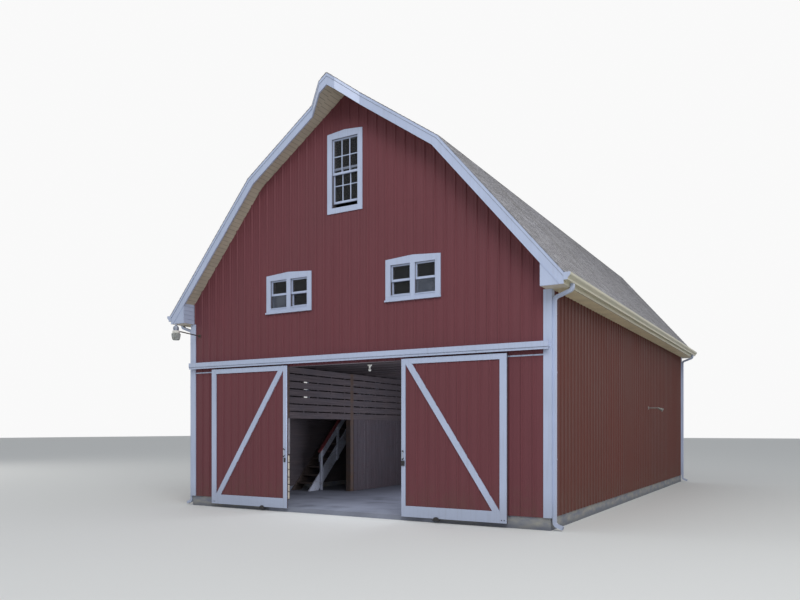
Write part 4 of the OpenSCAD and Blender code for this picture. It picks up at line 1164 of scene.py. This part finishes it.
class BARN_OT_doors(bpy.types.Operator):
    """Ribbed fronts, frames and fittings of the sliding doors, and their guides"""

    bl_idname = "barn.doors"
    bl_label = "Doors"

    def execute(self, context):
        for part in (self.leaf, self.fittings):
            part("left")
            part("right")
        dress("iron", "door_guides")
        return {"FINISHED"}

    def leaf(self, word):
        """One door's ribbed front, and the finishes of its frame, back and fittings."""
        low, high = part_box(f"{word}_door_panel")
        bm = bmesh.new()
        add_siding(bm, low, (1, 0, 0), (0, -1, 0), high.x - low.x, high.z, 0.001)
        thicken(bm, SHEET_T)
        make_piece(f"{word}_door_siding", bm, "siding", f"{word}_door", sheet=True)
        dress("upright boards", f"{word}_door_panel")
        dress("trim", f"{word}_door_frame")
        dress("pull iron", f"{word}_door_hardware")

    def fittings(self, word):
        """The left hasp's cover plate or the right one's lock, knobs and bolts of the frame."""
        low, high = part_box(f"{word}_door_frame")
        if word == "left":
            side, meeting, outer = -1, high.x - STILE_IN / 2, low.x + 0.045
            size = Vector((0.023, 0.008, 0.046))
        else:
            side, meeting, outer = 1, low.x + STILE_IN / 2, high.x - 0.045
            size = Vector((0.036, 0.022, 0.052))
        hasp = Vector((meeting, low.y - 0.006, HASP_Z))
        bm = bmesh.new()
        add_box(bm, hasp - size, hasp + Vector((size.x, -0.0002, size.z)), 0.003)
        for z in KNOB_ZS:
            bmesh.ops.create_uvsphere(bm, u_segments=12, v_segments=8, radius=0.017,
                                      matrix=Matrix.Translation((meeting, low.y - 0.036, z)))
        for x in (outer, outer - side * 0.055):
            bolt = Matrix.Translation((x, low.y - 0.002, low.z + 0.055))
            bmesh.ops.create_uvsphere(bm, u_segments=10, v_segments=6, radius=0.011,
                                      matrix=bolt @ Matrix.Diagonal((1, 0.5, 1, 1)))
        make_piece(f"{word}_door_lock", bm, "iron", f"{word}_door")


# Inside


def beside_window(a, b, z, top):
    """The parts of a board from a to b that the stair's window leaves."""
    y0, y1, z0, z1 = STAIR_WINDOW
    if top <= z0 or z >= z1:
        return [(a, b)]
    return [(c, d) for c, d in ((a, min(b, y0)), (max(a, y1), b)) if d - c > 0.02]


class BARN_OT_inside(bpy.types.Operator):
    """Lining boards, loft floor, partition, stair and lampholder"""

    bl_idname = "barn.inside"
    bl_label = "Inside"

    def execute(self, context):
        dress("cross boards", "loft_joists")
        dress("boards", "loft_deck", "partition_boards")
        dress("posts", "partition_posts")
        dress("stair", "stair", "stair_rail")
        dress("rail", "stair_handrail")
        dress("porcelain", "lampholder")
        self.lining()
        self.post_blocks()
        self.uprights()
        return {"FINISHED"}

    def post_blocks(self):
        """Cream blocks on the front post of the partition, and the pale board over them."""
        bm = bmesh.new()
        pitch, tall = 0.185, 0.165
        for i in range(6):
            z = FLOOR_Z + 0.02 + i * pitch
            add_box(bm, (PARTITION_X + SEAT, POST_Y + 0.005, z),
                    (PARTITION_X + 0.022, POST_Y + 0.125, z + tall), 0.004)
        make_piece("post_blocks", bm, "cream")
        bm = bmesh.new()
        add_box(bm, (PARTITION_X + SEAT, POST_Y + 0.004, FLOOR_Z + 1.15),
                (PARTITION_X + 0.018, POST_Y + POST_W - 0.004, SLAT_Z), 0.003)
        make_piece("post_board", bm, "bleached boards")

    def uprights(self):
        """Upright boards on the partition's closed bay, with bleached battens on the joints."""
        rng = random.Random("uprights")
        boards, battens = bmesh.new(), bmesh.new()
        back, low, high = PARTITION_X + SEAT, FLOOR_Z + 0.002, SLAT_Z - 0.002
        y, last = POST_Y + POST_PITCH + POST_W + 0.004, POST_Y + 2 * POST_PITCH - 0.004
        while y < last - 0.05:
            end = min(last, y + rng.uniform(0.15, 0.23))
            face = PARTITION_X + rng.uniform(0.010, 0.016)
            add_box(boards, (back, y, low), (face, end - 0.012, high), 0.002)
            add_box(battens, (back, end - 0.011, low), (PARTITION_X + 0.006, end - 0.001, high))
            y = end
        make_piece("upright_boards", boards, "upright boards")
        make_piece("upright_gaps", battens, "bleached boards")

    def lining(self):
        """Horizontal boards on the walls under the loft."""
        rng = random.Random("lining")
        wide, thick, gap, butt = sizes().board_width, 0.018, 0.006, 0.003
        rows = int((JOIST_Z - BASE_Z) / wide)
        front, back = FRONT_Y + WALL_T, BACK_Y - WALL_T
        for word, look, axis, runs in (
            ("lining_left", "boards", 1, [(-INNER_X, front, back)]),
            ("lining_right", "boards", 1, [(INNER_X, front, back)]),
            ("lining_ends", "cross boards", 0,
             [(front, -INNER_X, -DOORWAY_X), (front, DOORWAY_X, INNER_X),
              (back, -INNER_X, INNER_X)]),
        ):
            bm = bmesh.new()
            for wall, start, stop in runs:
                for row in range(rows):
                    z = BASE_Z + row * wide
                    top = min(z + wide - gap, JOIST_Z - 0.002)
                    a = start
                    while a < stop - 0.01:
                        b = min(stop, a + rng.uniform(2.6, 4.4))
                        if stop - b < 0.5:
                            b = stop
                        proud = thick + rng.uniform(-0.002, 0.002)
                        faces = sorted((wall, wall - math.copysign(proud, wall)))
                        left = word == "lining_left"
                        for c, d in beside_window(a, b, z, top) if left else [(a, b)]:
                            low, high = [faces[0]] * 2 + [z], [faces[1]] * 2 + [top]
                            low[axis], high[axis] = c, d - butt
                            add_box(bm, low, high)
                        a = b
            make_piece(word, bm, look)


# Lamps


class BARN_OT_lamps(bpy.types.Operator):
    """Yard lamp on its arm and the small lamp on the side wall"""

    bl_idname = "barn.lamps"
    bl_label = "Lamps"

    def execute(self, context):
        low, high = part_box("yard_lamp")
        head = Vector(((low.x + high.x) / 2, FRONT_Y - LAMP_REACH, high.z - LAMP_DROP))
        self.housing(head)
        self.arm(head)
        self.ring(head)
        self.bowl(head)
        dress("aluminium", "side_lamp")
        return {"FINISHED"}

    def housing(self, head):
        """Stepped housing with upright fins."""
        bm = bmesh.new()
        spin_profile(bm, [(0.0, 0.180), (0.024, 0.180), (0.028, 0.172), (0.028, 0.116),
                          (0.044, 0.112), (0.058, 0.098), (0.062, 0.084), (0.062, 0.0),
                          (0.0, 0.0)], head, (0, 0, 1), 32)
        fins = 12
        for i in range(fins):
            turn = Matrix.Rotation(i * math.tau / fins, 4, "Z")
            fin = Matrix.Translation(head) @ turn @ Matrix.Translation((0.063, 0, 0.045))
            size = Matrix.Diagonal((0.01, 0.004, 0.08, 1))
            bmesh.ops.create_cube(bm, size=1.0, matrix=fin @ size)
        make_piece("yard_lamp_housing", bm, "bright aluminium",
                   replaces=["yard_lamp"])

    def arm(self, head):
        """Round plate on the wall and the tube that rises from it to the housing."""
        bm = bmesh.new()
        root = Vector((head.x, FRONT_Y - 0.004, head.z - 0.044))
        spin_profile(bm, [(0.0, 0.012), (0.036, 0.012), (0.045, 0.004), (0.045, 0.0), (0.0, 0.0)],
                     root + Vector((0, 0.003, 0)), (0, -1, 0), 24)
        line = head + Vector((0, 0.045, 0.0)) - root
        spin_profile(bm, [(0.0, 0.0), (0.014, 0.0), (0.014, line.length), (0.0, line.length)],
                     root, line, 16)
        make_piece("yard_lamp_arm", bm, "lamp iron")

    def ring(self, head):
        """White ring that holds the bowl."""
        bm = bmesh.new()
        spin_profile(bm, [(0.050, -0.001), (0.084, -0.001), (0.090, -0.008), (0.090, -0.050),
                          (0.084, -0.060), (0.050, -0.060)], head, (0, 0, 1), 40)
        make_piece("yard_lamp_ring", bm, "porcelain")

    def bowl(self, head):
        """Fluted bowl that narrows to its foot."""
        bm = bmesh.new()
        steps = 72
        spin_profile(bm, [(0.092, -0.061), (0.104, -0.070), (0.107, -0.090), (0.098, -0.150),
                          (0.086, -0.200), (0.070, -0.222), (0.0, -0.229)], head, (0, 0, 1), steps)
        for vert in bm.verts:
            flat = Vector((vert.co.x - head.x, vert.co.y - head.y))
            if flat.length > 0.01 and round(math.atan2(flat.y, flat.x) * steps / math.tau) % 2:
                flat *= 0.97
                vert.co.x, vert.co.y = head.x + flat.x, head.y + flat.y
        thicken(bm, 0.003)
        make_piece("yard_lamp_bowl", bm, "acrylic", sheet=True)


# Stage


class BARN_OT_stage(bpy.types.Operator):
    """Pale floor, soft lamps, plain world and the photograph's camera"""

    bl_idname = "barn.stage"
    bl_label = "Stage"

    def execute(self, context):
        scene = context.scene
        scene.view_settings.view_transform = "Standard"
        self.floor()
        self.world(scene)
        self.lamp("soft front light", (14.0, -22.0, 19.0), 3300.0, (0.97, 0.98, 1.0))
        self.lamp("soft side light", (26.0, -4.0, 12.0), 450.0, (1.0, 0.95, 0.88))
        self.lamp("soft left light", (-30.0, -11.0, 9.0), 1600.0, (1.0, 0.98, 0.95))
        self.fill("doorway fill", (0.0, FRONT_Y + 0.6, 2.2), 0.9, 90.0)
        self.fill("bay fill", (1.0, FRONT_Y + 4.6, 1.9), 1.2, 420.0)
        self.camera(scene)
        return {"FINISHED"}

    def floor(self):
        """Broad level floor under the barn."""
        bm = bmesh.new()
        bmesh.ops.create_grid(bm, x_segments=1, y_segments=1, size=150.0)
        mesh = bpy.data.meshes.new("floor")
        bm.to_mesh(mesh)
        bm.free()
        mesh.materials.append(Coat("pale studio floor", 0.9, "#d9d9d6").material)
        place_object("floor", mesh)

    def world(self, scene):
        """A pale backdrop for what the camera sees, and a dimmer sky for its light."""
        world = bpy.data.worlds.new("plain studio")
        world.use_nodes = True
        scene.world = world
        tree = world.node_tree
        tree.nodes.clear()
        rays = add(tree, "ShaderNodeLightPath").outputs
        seen = rays["Is Camera Ray"]
        for other in ("Is Glossy Ray", "Is Transmission Ray"):
            seen = add(tree, "ShaderNodeMath", {0: seen, 1: rays[other]},
                       operation="MAXIMUM").outputs[0]
        light = add(tree, "ShaderNodeBackground", {"Color": (0.88, 0.93, 1.0, 1), "Strength": 0.50})
        backdrop = add(tree, "ShaderNodeBackground", {"Color": (1, 1, 1, 1), "Strength": 0.95})
        mixed = add(tree, "ShaderNodeMixShader",
                    {0: seen, 1: light.outputs[0], 2: backdrop.outputs[0]})
        add(tree, "ShaderNodeOutputWorld", {"Surface": mixed.outputs[0]})

    def lamp(self, name, place, power, rgb):
        """A broad lamp that faces the barn."""
        data = bpy.data.lights.new(name, "AREA")
        data.size, data.energy, data.color = 14.0, power, rgb
        lamp = place_object(name, data, place)
        way = Vector((0, 0, 3)) - Vector(place)
        lamp.rotation_euler = way.to_track_quat("-Z", "Y").to_euler()

    def fill(self, name, place, radius, power):
        """A soft unseen lamp that stands for the daylight in the open bay."""
        data = bpy.data.lights.new(name, "POINT")
        data.shadow_soft_size, data.energy, data.color = radius, power, (0.86, 0.90, 1.0)
        lamp = place_object(name, data, place)
        lamp.visible_camera = lamp.visible_glossy = False

    def camera(self, scene):
        """The photograph's camera, as solved from its points."""
        data = bpy.data.cameras.new("photograph's camera")
        data.lens, data.sensor_width, data.shift_y = 32.40, 36.0, 0.1619
        data.clip_end = 500.0
        camera = place_object("photograph's camera", data, (8.8018, -20.1336, 1.8643))
        camera.rotation_euler = (math.radians(90), 0, math.radians(30.107))
        scene.camera = camera


OPERATORS = (
    BARN_OT_siding, BARN_OT_roofing, BARN_OT_soffits, BARN_OT_trim, BARN_OT_gutters,
    BARN_OT_concrete, BARN_OT_windows, BARN_OT_doors, BARN_OT_inside, BARN_OT_lamps,
    BARN_OT_stage,
)


class BARN_PT_panel(bpy.types.Panel):
    """Lists the barn's sizes, colours and pieces"""

    bl_idname = "BARN_PT_panel"
    bl_label = "Barn"
    bl_space_type = "VIEW_3D"
    bl_region_type = "UI"
    bl_category = "Barn"

    def draw(self, context):
        for group in (context.scene.barn_sizes, context.scene.barn_colours):
            box = self.layout.box()
            for key in group.__annotations__:
                box.prop(group, key)
        for operator in OPERATORS:
            self.layout.operator(operator.bl_idname)


CLASSES = (BarnSizes, BarnColours, *OPERATORS, BARN_PT_panel)


def register():
    for one in CLASSES:
        bpy.utils.register_class(one)
    bpy.types.Scene.barn_sizes = bpy.props.PointerProperty(type=BarnSizes)
    bpy.types.Scene.barn_colours = bpy.props.PointerProperty(type=BarnColours)


def unregister():
    del bpy.types.Scene.barn_colours
    del bpy.types.Scene.barn_sizes
    for one in reversed(CLASSES):
        bpy.utils.unregister_class(one)


def main():
    """Builds every piece and the stage."""
    register()
    for operator in OPERATORS:
        group, name = operator.bl_idname.split(".")
        getattr(getattr(bpy.ops, group), name)()


if __name__ == "__main__":
    main()
